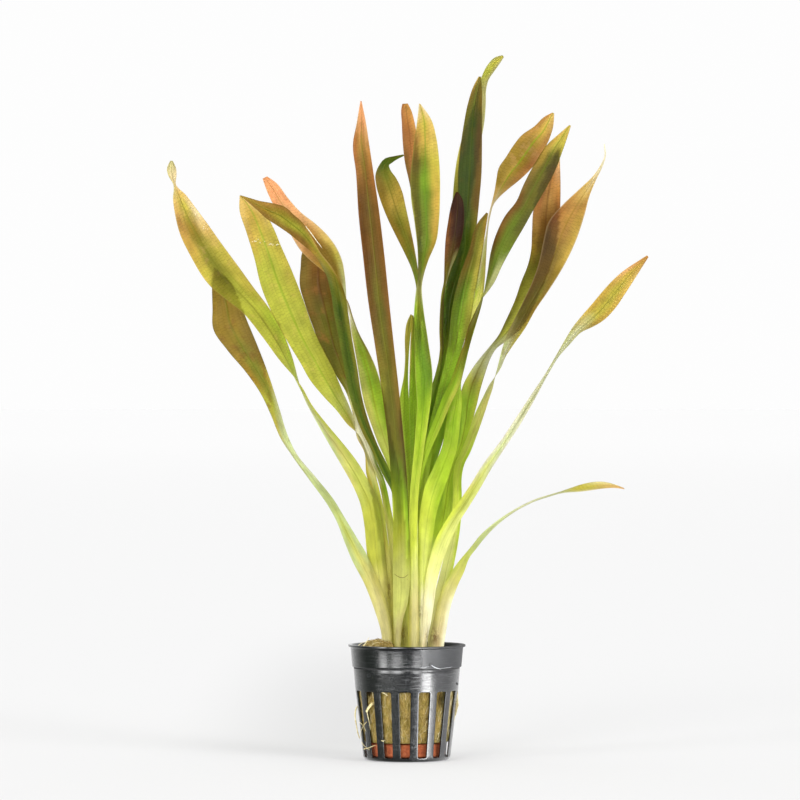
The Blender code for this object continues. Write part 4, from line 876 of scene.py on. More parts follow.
# For each leaf three runs of colour from tip to base: along margin 1, along the middle,
# along margin 2. A number is the row of the front elevation; for the arching leaf it is
# the column.
RUNS = {
    "leaf_left_front": (
        "101 salmon 118 rose 138 sienna 165 sienna 185 brown 205 coffee 275 coffee 320 bark 350 umber 385 olive 405 peat 440 peat 467 moss 489 fresh 511 lime 540 brightlime 565 primrose 605 primrose 621 paleyellow 643 straw 652 straw",
        "101 salmon 122 salmon 137 bronze 162 umber 185 brown 205 bark 260 bark 300 peat 450 peat 470 moss 489 leaf 508 fresh 530 brightlime 555 primrose 605 primrose 625 wheat 643 wheat 652 khaki",
        "101 salmon 128 rose 150 amber 170 rust 200 brown 310 brown 357 umber 405 umber 430 bark 455 peat 475 peat 492 moss 513 leaf 533 fresh 555 lime 580 primrose 600 primrose 621 wheat 643 wheat 652 khaki"),
    "leaf_left_low": (
        "268 umber 300 golddark 350 golddark 380 golddark 401 citron 423 ochre 445 greygreen 489 sage 511 sage 560 sage 580 straw 621 wheat 652 wheat",
        "268 umber 290 golddark 325 golddark 357 olive 385 olive 405 citron 423 greygreen 445 pale 468 pale 492 sage 535 reed 565 straw 600 wheat 652 wheat",
        "268 umber 300 golddark 335 umber 362 umber 385 ochre 401 greygreen 445 pale 467 milk 489 sage 555 sage 580 straw 625 straw 652 straw"),
    "leaf_left_outer": (
        "161 khaki 172 wheat 188 wheat 200 tan 220 bronze 245 gold 268 ochre 295 citron 345 citron 390 citron 420 reed 490 reed 515 lime 555 reed 580 straw 600 yellow 652 wheat",
        "161 wheat 176 beige 190 tan 205 ochre 225 golddark 245 olive 275 olive 300 citron 345 citron 380 lime 401 greygreen 425 greygreen 450 straw 475 reed 511 citron 560 citron 580 straw 652 wheat",
        "161 khaki 175 beige 195 tan 215 beige 235 tan 255 ochre 291 ochre 320 lime 365 lime 388 greygreen 405 pale 425 pale 450 sage 475 straw 495 reed 515 citron 560 citron 580 straw 652 wheat"),
    "leaf_left_bright": (
        "196 tan 212 tan 235 gold 262 citron 320 citron 380 citron 410 reed 428 ochre 448 wheat 467 wheat 489 citron 535 citron 558 straw 580 yellow 652 ochre",
        "196 tan 212 gold 240 ochre 265 citron 300 citron 340 citron 380 citron 405 reed 425 ochre 448 sheen 467 wheat 489 reed 520 reed 540 ochre 560 yellow 652 yellow",
        "196 beige 215 tan 240 ochre 270 ochre 310 citron 350 citron 390 citron 415 greygreen 425 wheat 442 gold 467 ochre 489 ochre 540 yellow 600 yellow 652 gold"),
    "leaf_left_drooping": (
        "196 golddark 212 bronze 232 bronze 246 tan 266 tan 283 golddark 300 olive 340 olive 375 olive 401 peat 435 peat 467 moss 505 leaf 560 pale 652 yellow",
        "196 gold 210 golddark 228 citron 248 ochre 268 ochre 288 olive 308 forest 360 forest 410 forest 450 forest 480 forest 510 leaf 560 lime 652 yellow",
        "196 bronze 215 umber 235 bronze 248 gold 265 khaki 290 moss 340 moss 400 moss 423 olive 447 olive 467 moss 495 moss 515 fresh 560 lime 652 yellow"),
    "leaf_left_salmon": (
        "177 salmon 200 salmon 222 rose 240 tan 262 ochre 285 greygreen 303 sheen 318 cream 335 yellow 357 reed 385 reed 405 yellow 425 yellow 445 reed 467 lime 500 fresh 560 lime 652 yellow",
        "177 salmon 195 salmon 212 rose 232 amber 255 golddark 280 golddark 295 greygreen 313 cream 330 reed 352 leaf 385 leaf 405 fresh 445 reed 480 lime 560 lime 652 yellow",
        "177 salmon 200 salmon 225 rose 247 rose 265 gold 300 golddark 335 olive 357 olive 400 leaf 425 leaf 445 fresh 500 lime 560 lime 652 yellow"),
    # On leaf_left_brown the cream and ivory band from row 401 to 467 is painted light, the glow of the thin stalk
    # against the bright backdrop, and the darker green just after it is painted shade.
    "leaf_left_brown": (
        "236 umber 270 umber 310 umber 345 peat 370 peat 388 olive 401 paleyellow 423 cream 447 ivory 467 paleyellow 489 citron 511 yellow 550 yellow 652 yellow",
        "236 umber 270 brown 291 bark 312 peat 355 peat 379 olive 392 greygreen 405 cream 447 ivory 467 wheat 489 leaf 511 lime 533 yellow 652 paleyellow",
        "236 brown 270 umber 300 coffee 325 olivedark 357 olivedark 390 moss 408 greygreen 423 cream 445 greygreen 467 moss 489 leaf 511 citron 533 reed 652 yellow"),
    "leaf_middle_yellow": (
        "104 beige 122 gold 140 bronze 160 umber 181 olive 215 olive 235 olive 250 moss 262 moss 285 greygreen 305 leaf 335 leaf 400 leaf 430 fresh 467 lime 489 lime 515 brightlime 550 brightlime 580 primrose 605 straw 652 straw",
        "104 tan 122 ochre 140 gold 159 olive 181 green 215 moss 250 moss 270 moss 289 greygreen 305 lime 325 leaf 352 green 385 green 405 leaf 430 fresh 455 fresh 489 lime 515 brightlime 545 brightlime 570 primrose 600 wheat 652 wheat",
        "104 beige 125 tan 160 ochre 200 gold 225 gold 245 golddark 268 olive 289 greygreen 308 moss 360 moss 382 green 401 fresh 440 lime 467 lime 500 brightlime 535 brightlime 565 primrose 600 wheat 652 wheat"),
    "leaf_middle_hooked": (
        "155 olivedark 165 forest 180 umber 205 golddark 235 golddark 260 olive 285 moss 400 leaf 520 lime 652 yellow",
        "155 moss 168 forest 180 olive 200 gold 220 olive 245 olive 265 moss 285 moss 400 leaf 520 lime 652 yellow",
        "155 forest 170 moss 190 gold 215 ochre 240 golddark 262 olive 285 moss 400 leaf 520 lime 652 yellow"),
    "leaf_middle_blunt": (
        "104 rust 130 sienna 160 brown 200 umber 300 olive 400 leaf 652 yellow",
        "104 amber 130 rust 160 sienna 200 umber 300 olive 400 leaf 652 yellow",
        "104 amber 130 amber 160 golddark 200 golddark 300 olive 400 leaf 652 yellow"),
    "leaf_middle_short_left": (
        "315 ochre 350 ochre 390 fresh 440 lime 500 lime 652 yellow",
        "315 olive 350 ochre 390 leaf 440 leaf 500 lime 652 yellow",
        "315 ochre 350 leaf 390 leaf 440 leaf 500 lime 652 yellow"),
    "leaf_middle_short_right": (
        "315 ochre 350 ochre 390 leaf 440 leaf 500 lime 652 yellow",
        "315 olive 350 leaf 390 leaf 440 leaf 500 lime 652 yellow",
        "315 olive 350 olive 390 leaf 440 fresh 500 lime 652 yellow"),
    "leaf_middle_tall": (
        "77 gold 92 umber 115 peat 140 olivedark 165 forest 200 forest 260 forest 320 forest 350 moss 390 green 430 leaf 480 leaf 530 lime 652 yellow",
        "77 umber 92 peat 120 forest 180 forest 250 forest 320 forest 350 moss 385 green 430 leaf 470 fresh 510 fresh 560 lime 652 yellow",
        "77 olive 98 golddark 115 peat 135 bark 205 bark 228 olive 250 forest 320 forest 350 moss 390 moss 430 green 480 leaf 530 lime 652 yellow"),
    "leaf_middle_curled": (
        "56 khaki 75 citron 90 khaki 110 gold 155 ochre 190 olive 250 olive 400 moss 652 yellow",
        "56 ochre 75 citron 90 khaki 150 khaki 190 olive 250 olive 400 moss 652 yellow",
        "56 khaki 75 khaki 90 khaki 150 khaki 200 greygreen 250 olive 400 moss 652 yellow"),
    "leaf_middle_red": (
        "192 reddark 208 reddark 222 redrust 252 redrust 269 bark 288 olive 320 olive 350 olive 380 moss 430 green 480 leaf 652 yellow",
        "192 redbrown 206 reddark 232 reddark 247 bark 262 umber 275 olive 291 peat 313 peat 345 olivedark 370 moss 430 green 480 leaf 652 yellow",
        "192 redbrown 206 reddark 235 reddark 248 redbrown 258 greygreen 272 sheen 286 greygreen 305 peat 345 olivedark 370 moss 430 green 480 leaf 652 yellow"),
    "leaf_middle_lime": (
        "213 umber 235 golddark 260 golddark 280 olive 305 leaf 345 leaf 380 leaf 450 leaf 500 lime 652 yellow",
        "213 umber 238 olive 265 olive 291 green 345 leaf 380 leaf 410 green 450 leaf 500 lime 560 lime 652 yellow",
        "213 golddark 232 golddark 250 ochre 275 ochre 300 citron 320 olive 338 moss 360 leaf 400 green 450 leaf 500 lime 652 yellow"),
    "leaf_middle_green": (
        "125 tan 142 gold 160 golddark 182 umber 203 brown 228 brown 247 coffee 265 peat 291 moss 310 olive 335 olive 357 moss 395 citron 450 fresh 490 fresh 560 paleyellow 652 yellow",
        "125 ochre 142 ochre 156 peat 200 peat 225 moss 269 moss 288 olive 310 greygreen 330 olive 357 olive 385 leaf 450 fresh 500 lime 560 paleyellow 652 yellow",
        "125 tan 142 ochre 155 peat 172 bark 190 peat 210 olivedark 228 olivedark 247 moss 268 greygreen 290 greygreen 310 umber 340 umber 365 olive 400 leaf 470 fresh 510 lime 560 paleyellow 652 yellow"),
    "leaf_middle_gold": (
        "113 amber 130 bronze 155 golddark 186 golddark 200 tan 212 beige 228 cream 258 cream 275 paleyellow 291 lime 313 yellow 335 leaf 420 leaf 467 fresh 489 lime 515 brightlime 555 brightlime 580 canary 600 primrose 652 primrose",
        "113 tan 128 gold 145 golddark 165 golddark 186 gold 200 beige 225 beige 247 paleyellow 269 yellow 313 yellow 338 leaf 401 fresh 425 leaf 445 fresh 475 fresh 495 lime 515 brightlime 555 canary 580 canary 600 cream 652 cream",
        "113 tan 135 bronze 160 sienna 181 bronze 203 tan 225 ochre 275 ochre 300 citron 350 leaf 390 fresh 445 fresh 500 fresh 533 lime 560 canary 600 paleyellow 652 cream"),
    "leaf_middle_rust": (
        "150 sienna 165 rust 185 redrust 203 sienna 225 bronze 247 golddark 269 olive 313 olive 338 olive 357 sheen 379 citron 401 leaf 445 green 489 green 533 fresh 580 paleyellow 652 cream",
        "150 umber 170 rust 203 bronze 222 brown 245 bark 265 peat 285 olive 313 citron 335 citron 352 greygreen 379 olive 401 leaf 445 fresh 489 fresh 533 fresh 580 paleyellow 652 cream",
        "150 tan 170 rose 190 amber 206 rust 222 reddark 250 redbrown 268 olivedark 300 olive 335 greygreen 360 sheen 385 citron 430 fresh 480 leaf 530 lime 580 paleyellow 652 ivory"),
    "leaf_middle_wide": (
        "256 amber 272 rose 291 gold 315 gold 335 greygreen 360 greygreen 379 sheen 401 milk 440 milk 467 sheen 489 straw 508 brightlime 540 brightlime 560 primrose 580 paleyellow 600 cream 625 cream 652 wheat",
        "256 amber 272 gold 291 ochre 315 ochre 333 sheen 385 sheen 401 greygreen 425 sheen 447 pale 467 primrose 489 reed 508 reed 545 primrose 565 paleyellow 600 cream 630 cream 652 beige",
        "256 sienna 272 tan 291 gold 318 gold 335 greygreen 362 greygreen 385 sheen 405 milk 447 milk 467 sheen 489 primrose 511 primrose 535 primrose 565 paleyellow 600 cream 630 ivory 652 khaki"),
    "leaf_right_hair_tip": (
        "144 ivory 163 beige 183 tan 203 bronze 222 rust 240 bark 258 bark 275 umber 300 umber 318 olive 335 greygreen 357 pale 379 greygreen 405 straw 430 reed 450 fresh 511 fresh 540 lime 580 lime 600 yellow 652 cream",
        "144 ivory 163 milk 178 beige 190 tan 205 bronze 235 bronze 252 umber 275 umber 295 olive 318 olive 335 khaki 357 sheen 379 greygreen 401 straw 430 reed 489 lime 511 brightlime 545 primrose 580 primrose 605 yellow 625 cream 652 beige",
        "144 ivory 163 beige 182 tan 203 bronze 225 gold 250 gold 269 golddark 291 umber 310 golddark 335 ochre 357 greygreen 385 greygreen 410 reed 445 lime 490 lime 515 brightlime 550 primrose 577 paleyellow 625 paleyellow 652 wheat"),
    "leaf_right_arching": (
        "624 tan 605 wheat 580 ochre 560 greygreen 530 sheen 500 pale 480 sage 465 reed 455 reed 445 straw 436 wheat",
        "624 rose 608 tan 592 ochre 575 ochre 560 greygreen 540 sheen 510 sheen 480 sage 465 reed 455 straw 445 wheat 436 beige",
        "624 rose 605 tan 585 wheat 560 sheen 530 sheen 500 pale 480 sage 465 reed 455 straw 445 cream 436 ivory"),
}

# How each leaf is marked: rib is the middle vein (strength, colour), edge a thin margin
# (strength, colour), blotch a scatter of old patches (strength, colour).
# under, where a leaf has it, is the tint of the painted shade where another leaf lies behind the blade.
MARKS = {
    "leaf_left_front": dict(rib=(0.45, "olive"), edge=(0.35, "rust"), blotch=(0.35, "brown")),
    "leaf_left_low": dict(rib=(0.35, "moss"), edge=(0.3, "olivedark"), blotch=(0.65, "brown")),
    "leaf_left_outer": dict(rib=(0.5, "olive"), edge=(0.4, "tan"), blotch=(0.25, "rose")),
    "leaf_left_bright": dict(rib=(0.5, "leaf"), edge=(0.3, "ochre"), blotch=(0.3, "tan")),
    "leaf_left_drooping": dict(rib=(0.4, "moss"), edge=(0.6, "umber"), blotch=(0.35, "umber"), under=(0.72, 0.70, 0.55)),
    "leaf_left_salmon": dict(rib=(0.35, "golddark"), edge=(0.4, "beige"), blotch=(0.3, "brown"), under=(0.72, 0.66, 0.5)),
    "leaf_left_brown": dict(rib=(0.45, "redbrown"), edge=(0.3, "umber"), blotch=(0.5, "rust"), under=(0.7, 0.66, 0.5)),
    "leaf_middle_yellow": dict(rib=(0.55, "green"), edge=(0.4, "yellow"), blotch=(0.2, "ochre")),
    "leaf_middle_hooked": dict(rib=(0.4, "olive"), edge=(0.3, "umber"), blotch=(0.4, "golddark")),
    "leaf_middle_blunt": dict(rib=(0.3, "brown"), edge=(0.3, "brown"), blotch=(0.4, "umber")),
    "leaf_middle_short_left": dict(rib=(0.4, "olive"), edge=(0.3, "yellow"), blotch=(0.2, "olive")),
    "leaf_middle_short_right": dict(rib=(0.4, "olive"), edge=(0.3, "yellow"), blotch=(0.2, "olive")),
    "leaf_middle_tall": dict(rib=(0.5, "moss"), edge=(0.5, "umber"), blotch=(0.3, "umber")),
    "leaf_middle_curled": dict(rib=(0.3, "olive"), edge=(0.3, "pale"), blotch=(0.2, "ochre")),
    "leaf_middle_red": dict(rib=(0.3, "umber"), edge=(0.4, "redrust"), blotch=(0.4, "reddark")),
    "leaf_middle_lime": dict(rib=(0.45, "olive"), edge=(0.3, "umber"), blotch=(0.3, "umber")),
    "leaf_middle_green": dict(rib=(0.45, "moss"), edge=(0.4, "olivedark"), blotch=(0.25, "olive")),
    "leaf_middle_gold": dict(rib=(0.6, "leaf"), edge=(0.35, "golddark"), blotch=(0.35, "rose")),
    "leaf_middle_rust": dict(rib=(0.4, "redbrown"), edge=(0.3, "brown"), blotch=(0.35, "redbrown")),
    "leaf_middle_wide": dict(rib=(0.35, "olive"), edge=(0.4, "tan"), blotch=(0.35, "tan")),
    "leaf_right_hair_tip": dict(rib=(0.4, "golddark"), edge=(0.4, "beige"), blotch=(0.45, "golddark"), under=(0.32, 0.23, 0.12)),
    "leaf_right_arching": dict(rib=(0.35, "greygreen"), edge=(0.3, "golddark"), blotch=(0.3, "tan")),
}


def colour_of(word):
    return linear(PALETTE[word])


def stops_of(run, rows):
    """Colour stops along a leaf, from a run of rows and palette words."""
    words = run.split()
    out = []
    for at, word in zip(words[::2], words[1::2]):
        at = float(at)
        order = rows if rows[0][0] < rows[-1][0] else rows[::-1]
        out.append((float(np.interp(at, [r[0] for r in order], [r[1] for r in order])), colour_of(word)))
    return out


def leaf_material(name, rows, length, width, seed):
    marks = MARKS[name]
    net = Net(name)
    uv = net.separate(net.add("ShaderNodeUVMap", uv_map="LeafMap").outputs[0])
    u, v = uv[0], uv[1]
    along = net.math("MULTIPLY", v, length)
    across = net.math("MULTIPLY", u, width)

    def field(dx, dy, shift, **more):
        vec = net.combine(net.math("MULTIPLY", across, 1.0 / dx), net.math("MULTIPLY", along, 1.0 / dy),
                          seed * 3.7 + shift)
        return net.noise(vec, **more)

    # The three runs, joined across the blade with a wandering border
    wander = field(5.0, 16.0, 0.0, detail=3.0)
    v2 = net.math("ADD", v, net.math("MULTIPLY", net.math("SUBTRACT", field(2.2, 22.0, 9.0, detail=3.0), 0.5), 10.0 / length))
    u2 = net.math("ADD", u, net.math("MULTIPLY", net.math("SUBTRACT", wander, 0.5), 0.45))
    left, middle, right = (net.ramp(v2, stops_of(run, rows)) for run in RUNS[name])
    colour = net.mix(net.range(u2, 0.46, 0.10), middle, left)
    colour = net.mix(net.range(u2, 0.54, 0.90), colour, right)

    # Old patches, then soft mottling and fine specks
    strength, word = marks["blotch"]
    upper = net.range(v, 0.75, 0.35)
    patch = net.range(field(3.2, 5.5, 3.0, detail=4.0, rough=0.6), 0.52, 0.72)
    colour = net.mix(net.math("MULTIPLY", net.math("MULTIPLY", patch, upper), strength), colour, colour_of(word))
    soft = net.range(field(4.0, 8.0, 5.0, detail=4.0, rough=0.55), 0.25, 0.75, 0.82, 1.26, smooth=False)
    fine = net.range(field(0.5, 0.9, 7.0, detail=3.0, rough=0.6), 0.25, 0.75, 0.93, 1.07, smooth=False)
    streak = net.range(field(0.55, 30.0, 8.0, detail=3.0, rough=0.6), 0.25, 0.75, 0.90, 1.10, smooth=False)
    tone = net.math("MULTIPLY", net.math("MULTIPLY", soft, fine), streak)

    # Veins: parallel lines, the middle rib, and a net of cross veins between them
    lines = net.math("ABSOLUTE", net.math("SUBTRACT", net.math("FRACT", net.math("MULTIPLY", u, 6.0)), 0.5))
    lines = net.range(lines, 0.36, 0.5)
    rib = net.range(net.math("ABSOLUTE", net.math("SUBTRACT", u, 0.5)), 0.055, 0.012)
    strip = net.math("FLOOR", net.math("MULTIPLY", u, 6.0))
    jog = net.math("MULTIPLY", net.math("SUBTRACT", field(2.4, 2.4, 11.0, detail=2.0), 0.5), 1.3)
    step = net.math("ADD", net.math("MULTIPLY", along, 1.0 / 1.45), net.math("ADD", net.math("MULTIPLY", strip, 0.37), jog))
    cross = net.range(net.math("ABSOLUTE", net.math("SUBTRACT", net.math("FRACT", step), 0.5)), 0.36, 0.49)
    cell = net.add("ShaderNodeTexWhiteNoise", {"Vector": net.combine(net.math("FLOOR", step), strip, float(seed))}, noise_dimensions="3D").outputs[0]
    blade = net.range(v, 0.62, 0.42)
    clear = net.math("MULTIPLY", blade, net.range(field(6.0, 10.0, 13.0, detail=2.0), 0.3, 0.65, 0.45, 1.0))
    tone = net.math("MULTIPLY", tone, net.math("SUBTRACT", 1.0, net.math("MULTIPLY", lines, 0.07)))
    tone = net.math("MULTIPLY", tone, net.math("SUBTRACT", 1.0, net.math("MULTIPLY", net.math("MULTIPLY", cross, clear), 0.36)))
    colour = net.mix(1.0, colour, net.combine(tone, tone, tone), "MULTIPLY")
    cells = net.mix(cell, (0.90, 0.90, 0.84, 1), (1.10, 1.09, 1.12, 1))
    colour = net.mix(net.math("MULTIPLY", clear, 0.6), colour, net.mix(1.0, colour, cells, "MULTIPLY"))
    strength, word = marks["rib"]
    colour = net.mix(net.math("MULTIPLY", net.math("MULTIPLY", rib, net.range(v, 0.85, 0.5, 0.15, 1.0)), strength), colour, colour_of(word))

    # A thin margin
    strength, word = marks["edge"]
    edge = net.range(net.math("ABSOLUTE", net.math("SUBTRACT", u, 0.5)), 0.44, 0.49)
    colour = net.mix(net.math("MULTIPLY", net.math("MULTIPLY", edge, net.range(v, 0.8, 0.45, 0.2, 1.0)), strength), colour, colour_of(word))

    # Brown stains and specks near the base
    stain = net.math("MULTIPLY", net.attribute("Stain"), net.range(field(0.9, 2.0, 21.0, detail=4.0, rough=0.65), 0.36, 0.58))
    specks = net.math("MULTIPLY", net.range(field(0.45, 0.7, 23.0, detail=1.0), 0.70, 0.78), net.range(v, 0.72, 0.84))
    colour = net.mix(net.math("MULTIPLY", specks, 0.5), colour, linear("a8803c"))
    colour = net.mix(stain, colour, linear("6b4c2a"))

    # Painted shade: darker where the next leaf lies behind the blade
    behind = net.attribute("BehindShade")
    colour = net.mix(net.math("MULTIPLY", behind, 0.9), colour, net.mix(1.0, colour, (*marks.get("under", (0.42, 0.38, 0.20)), 1), "MULTIPLY"))

    # Light passes both faces of the thin blade, so each lets through about its square root
    two = net.mix(1.0, (2, 2, 2, 1), colour, "SUBTRACT")
    through = net.add("ShaderNodeGamma", {"Color": net.mix(1.0, colour, two, "MULTIPLY"), "Gamma": 0.5}).outputs[0]

    height = net.math("MULTIPLY", lines, 0.5)
    height = net.math("ADD", height, net.math("MULTIPLY", net.math("MULTIPLY", cross, clear), 0.35))
    height = net.math("ADD", height, net.math("MULTIPLY", rib, 1.0))
    height = net.math("ADD", height, net.math("MULTIPLY", field(1.3, 2.6, 17.0, detail=4.0), 0.9))
    normal = net.bump(height, 0.6, 0.00016)
    rough = net.range(field(2.0, 5.0, 19.0, detail=3.0), 0.3, 0.7, 0.34, 0.52, smooth=False)
    surface = net.principled(colour, rough, normal, specular=0.17)
    glow = net.add("ShaderNodeBsdfTranslucent", {"Color": through, "Normal": normal}).outputs[0]
    mixed = net.add("ShaderNodeMixShader", {0: 0.5, 1: surface, 2: glow}).outputs[0]
    return net.finish(mixed)


# ---------------------------------------------------------------- leaf shapes
COLUMNS = np.array([-1, -0.982, -0.93, -0.82, -0.65, -0.46, -0.28, -0.14, -0.055, 0.0,
                    0.055, 0.14, 0.28, 0.46, 0.65, 0.82, 0.93, 0.982, 1])
CROWN_OF = {"left": CROWNS["crown_left"], "middle": CROWNS["crown_middle"], "right": CROWNS["crown_right"]}
# Gentle folds of single leaves: how far the middle stands off the margins, as a share of
# the width; + is to the back
CUP = {
    "leaf_left_front": -0.05, "leaf_left_low": 0.06, "leaf_left_outer": 0.05, "leaf_left_bright": -0.04,
    "leaf_left_drooping": -0.08, "leaf_left_salmon": 0.05, "leaf_left_brown": -0.05,
    "leaf_middle_yellow": 0.06, "leaf_middle_hooked": -0.08, "leaf_middle_blunt": 0.04,
    "leaf_middle_short_left": 0.05, "leaf_middle_short_right": -0.05, "leaf_middle_tall": 0.06,
    "leaf_middle_curled": 0.10, "leaf_middle_red": -0.08, "leaf_middle_lime": 0.05,
    "leaf_middle_green": 0.05, "leaf_middle_gold": -0.05, "leaf_middle_rust": 0.05,
    "leaf_middle_wide": -0.06, "leaf_right_hair_tip": -0.05, "leaf_right_arching": 0.12,
}


def leaf_shape(name, index):
    """Vertices, faces, map and row table of one leaf."""
    stations = list(LEAVES[name])
    u1, v1, u2, v2, y, dy = stations[-1]
    stations.append((u1 + (u2 - u1) * 0.12, v1 + 10, u2 - (u2 - u1) * 0.12, v2 + 10, y, dy))
    rows, knots = smooth_rows(stations, 1.35)
    a, b = rows[:, :3], rows[:, 3:]
    mid = (a + b) / 2
    step = np.linalg.norm(np.diff(mid, axis=0), axis=1)
    s = np.concatenate([[0.0], np.cumsum(step)])
    length = s[-1]
    width = np.linalg.norm(b - a, axis=1)
    along = np.gradient(mid, axis=0)
    along /= np.linalg.norm(along, axis=1)[:, None]
    normal = np.cross(b - a, along)
    size = np.linalg.norm(normal, axis=1)
    normal /= np.maximum(size, 1e-9)[:, None]
    # Even out the normal where the blade is only a line
    for _ in range(4):
        padded = np.vstack([normal[:1], normal, normal[-1:]])
        normal = padded[:-2] * 0.25 + normal * 0.5 + padded[2:] * 0.25
        normal /= np.maximum(np.linalg.norm(normal, axis=1), 1e-9)[:, None]
    base_y = stations[-2][4]
    crown = CROWN_OF[name.split("_")[1]]
    fleshy = np.clip((560.0 - 400.0) * 0.4259 - (mid[:, 2] - (153.0 - 160.0 * 0.4259)), 0, None)
    low = np.clip((110.0 - mid[:, 2]) / 60.0, 0, 1)
    low = low * low * (3 - 2 * low)
    facing = np.clip(normal[:, 1] * 2.5, -1, 1)
    bulge = low * 0.30 * (base_y - crown[1]) * facing
    phase = index * 1.7
    verts, uvs, deep = [], [], []
    for k in range(len(rows)):
        w = width[k]
        x = s[k]
        cup = CUP[name] * min(w, 12.0) * (1 - low[k]) + bulge[k]
        fold = 0.35 * math.sin(x / 11.0 + phase) + 0.22 * math.sin(x / 6.3 + 2.1 * phase)
        tip = min(1.0, x / 12.0)
        thin = (0.11 + 0.45 * low[k]) * (0.6 + 0.4 * tip)
        thin = min(thin, 0.30 * w + 0.03)
        for side in (-1, 1):
            cols = COLUMNS if side < 0 else COLUMNS[1:-1][::-1]
            for c in cols:
                t = (c + 1) / 2
                across = 1 - c * c
                wave = 0.14 * math.sin(x / 4.7 + 5.0 * c + phase) * across * min(1.0, w / 8.0) * (1 - low[k])
                h = across * (cup + fold * min(1.0, w / 9.0) * 0.55 * (1 - low[k])) + wave
                ridge = math.exp(-(c / 0.085) ** 2) * 0.10 * min(1.0, w / 6.0) * tip
                half = thin * (across ** 0.5) * 0.5 + (ridge if side > 0 else -0.35 * ridge) * 0.5
                half += 0.010 * math.cos(c * math.pi * 4) * across * min(1.0, w / 5.0) * tip
                p = a[k] * (1 - t) + b[k] * t + normal[k] * (h + side * half)
                verts.append(p)
                uvs.append((t, x / length))
        deep.append(mid[k])
    ring = 2 * len(COLUMNS) - 2
    faces = []
    for k in range(len(rows) - 1):
        p, q = k * ring, (k + 1) * ring
        for i in range(ring):
            j = (i + 1) % ring
            faces.append([p + i, p + j, q + j, q + i])
    half_count = len(COLUMNS)
    for start, turn in ((0, 1), ((len(rows) - 1) * ring, -1)):
        front = [start + i for i in range(half_count)]
        back = [start] + [start + ring - i for i in range(1, half_count - 1)] + [start + half_count - 1]
        for i in range(half_count - 1):
            f = [front[i], front[i + 1], back[i + 1], back[i]]
            f = list(dict.fromkeys(f))
            faces.append(f if turn < 0 else f[::-1])
    faces = outward(verts, faces)
    # Rows of the elevation against the distance along the leaf
    use_column = name == "leaf_right_arching"
    table = []
    for k, (su1, sv1, su2, sv2, _, _) in enumerate(LEAVES[name]):
        at = float(np.interp(k, knots, s / length))
        table.append(((su1 + su2) / 2 if use_column else (sv1 + sv2) / 2, at))
    return dict(verts=np.array(verts), faces=faces, uvs=uvs, table=table, length=length,
                width=float(np.percentile(width, 75)), a=a, b=b, ring=ring, low=low, s=s)


shapes = {name: leaf_shape(name, i) for i, name in enumerate(LEAVES)}

# Which parts of each blade have other leaves close behind them, for the painted shade there
sheet_verts, sheet_faces, sheet_owner = [], [], []
for i, shape in enumerate(shapes.values()):
    start = len(sheet_verts)
    for p, q in zip(shape["a"], shape["b"]):
        sheet_verts += [Vector(p), Vector(q)]
    for k in range(len(shape["a"]) - 1):
        m = start + 2 * k
        sheet_faces += [(m, m + 1, m + 3, m + 2)]
        sheet_owner.append(i)
sheets = BVHTree.FromPolygons(sheet_verts, sheet_faces)
eye = Vector((EYE_X, -EYE_Y, EYE_Z))
for i, shape in enumerate(shapes.values()):
    values = []
    for p in shape["verts"]:
        at = Vector(p)
        ray = (at - eye).normalized()
        start, found = at + ray * 0.3, set()
        for _ in range(6):
            hit, _, face, distance = sheets.ray_cast(start, ray, 60.0)
            if hit is None:
                break
            if sheet_owner[face] != i:
                found.add(sheet_owner[face])
            start = hit + ray * 0.05
        values.append(min(1.0, 0.85 * len(found)))
    thin = np.repeat(1.0 - shape["low"] * 0.85, shape["ring"])
    if not list(shapes)[i].startswith("leaf_left"):
        fade = np.clip((shape["verts"][:, 2] - 163.0) / 21.0, 0, 1)
        thin = thin * fade * fade * (3 - 2 * fade)
    shape["behind"] = np.array(values) * thin

# Brown stains, as the elevation shows them: middle, half width and height, strength
STAINS = (
    (389.5, 590.0, 2.4, 13.0, 0.85), (420.3, 611.0, 2.0, 7.0, 0.8), (434.5, 637.0, 5.0, 9.0, 0.95),
    (404.0, 634.0, 4.0, 9.0, 1.0), (427.0, 636.0, 2.5, 6.0, 0.5), (386.0, 560.0, 2.0, 8.0, 0.35),
    (395.0, 634.0, 3.0, 8.0, 0.4),
)
every_vert, every_face = [], []
for shape in shapes.values():
    start = len(every_vert)
    every_vert += shape["verts"].tolist()
    every_face += [[start + i for i in f] for f in shape["faces"]]
blades = BVHTree.FromPolygons(every_vert, every_face)


def seen_at(u, v, near=0.05):
    """The point just in front of the first blade that the elevation shows at (u, v)."""
    ray = (place(u, v, 0.0) - eye).normalized()
    hit = blades.ray_cast(eye, ray)[0]
    return None if hit is None else hit - ray * near


stain_depth = [getattr(seen_at(u, v), "y", 0.0) for u, v, _, _, _ in STAINS]
for i, (name, shape) in enumerate(shapes.items()):
    at = shape["verts"]
    k = (EYE_Y + at[:, 1]) / FOCUS
    pu, pv = 400 + (at[:, 0] - EYE_X) / k, 400 - (at[:, 2] - EYE_Z) / k
    stain = np.zeros(len(at))
    for (su, sv, ru, rv, strength), depth in zip(STAINS, stain_depth):
        near = np.exp(-((pu - su) / ru) ** 2 - ((pv - sv) / rv) ** 2) * strength
        stain = np.maximum(stain, np.where(np.abs(at[:, 1] - depth) < 2.5, near, 0.0))
    mat = leaf_material(name, shape["table"], shape["length"], shape["width"], i + 1)
    blade = add_mesh(name + "_blade", shape["verts"], shape["faces"], mat,
                     uvs=shape["uvs"], floats={"BehindShade": shape["behind"], "Stain": stain})
    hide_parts(name)


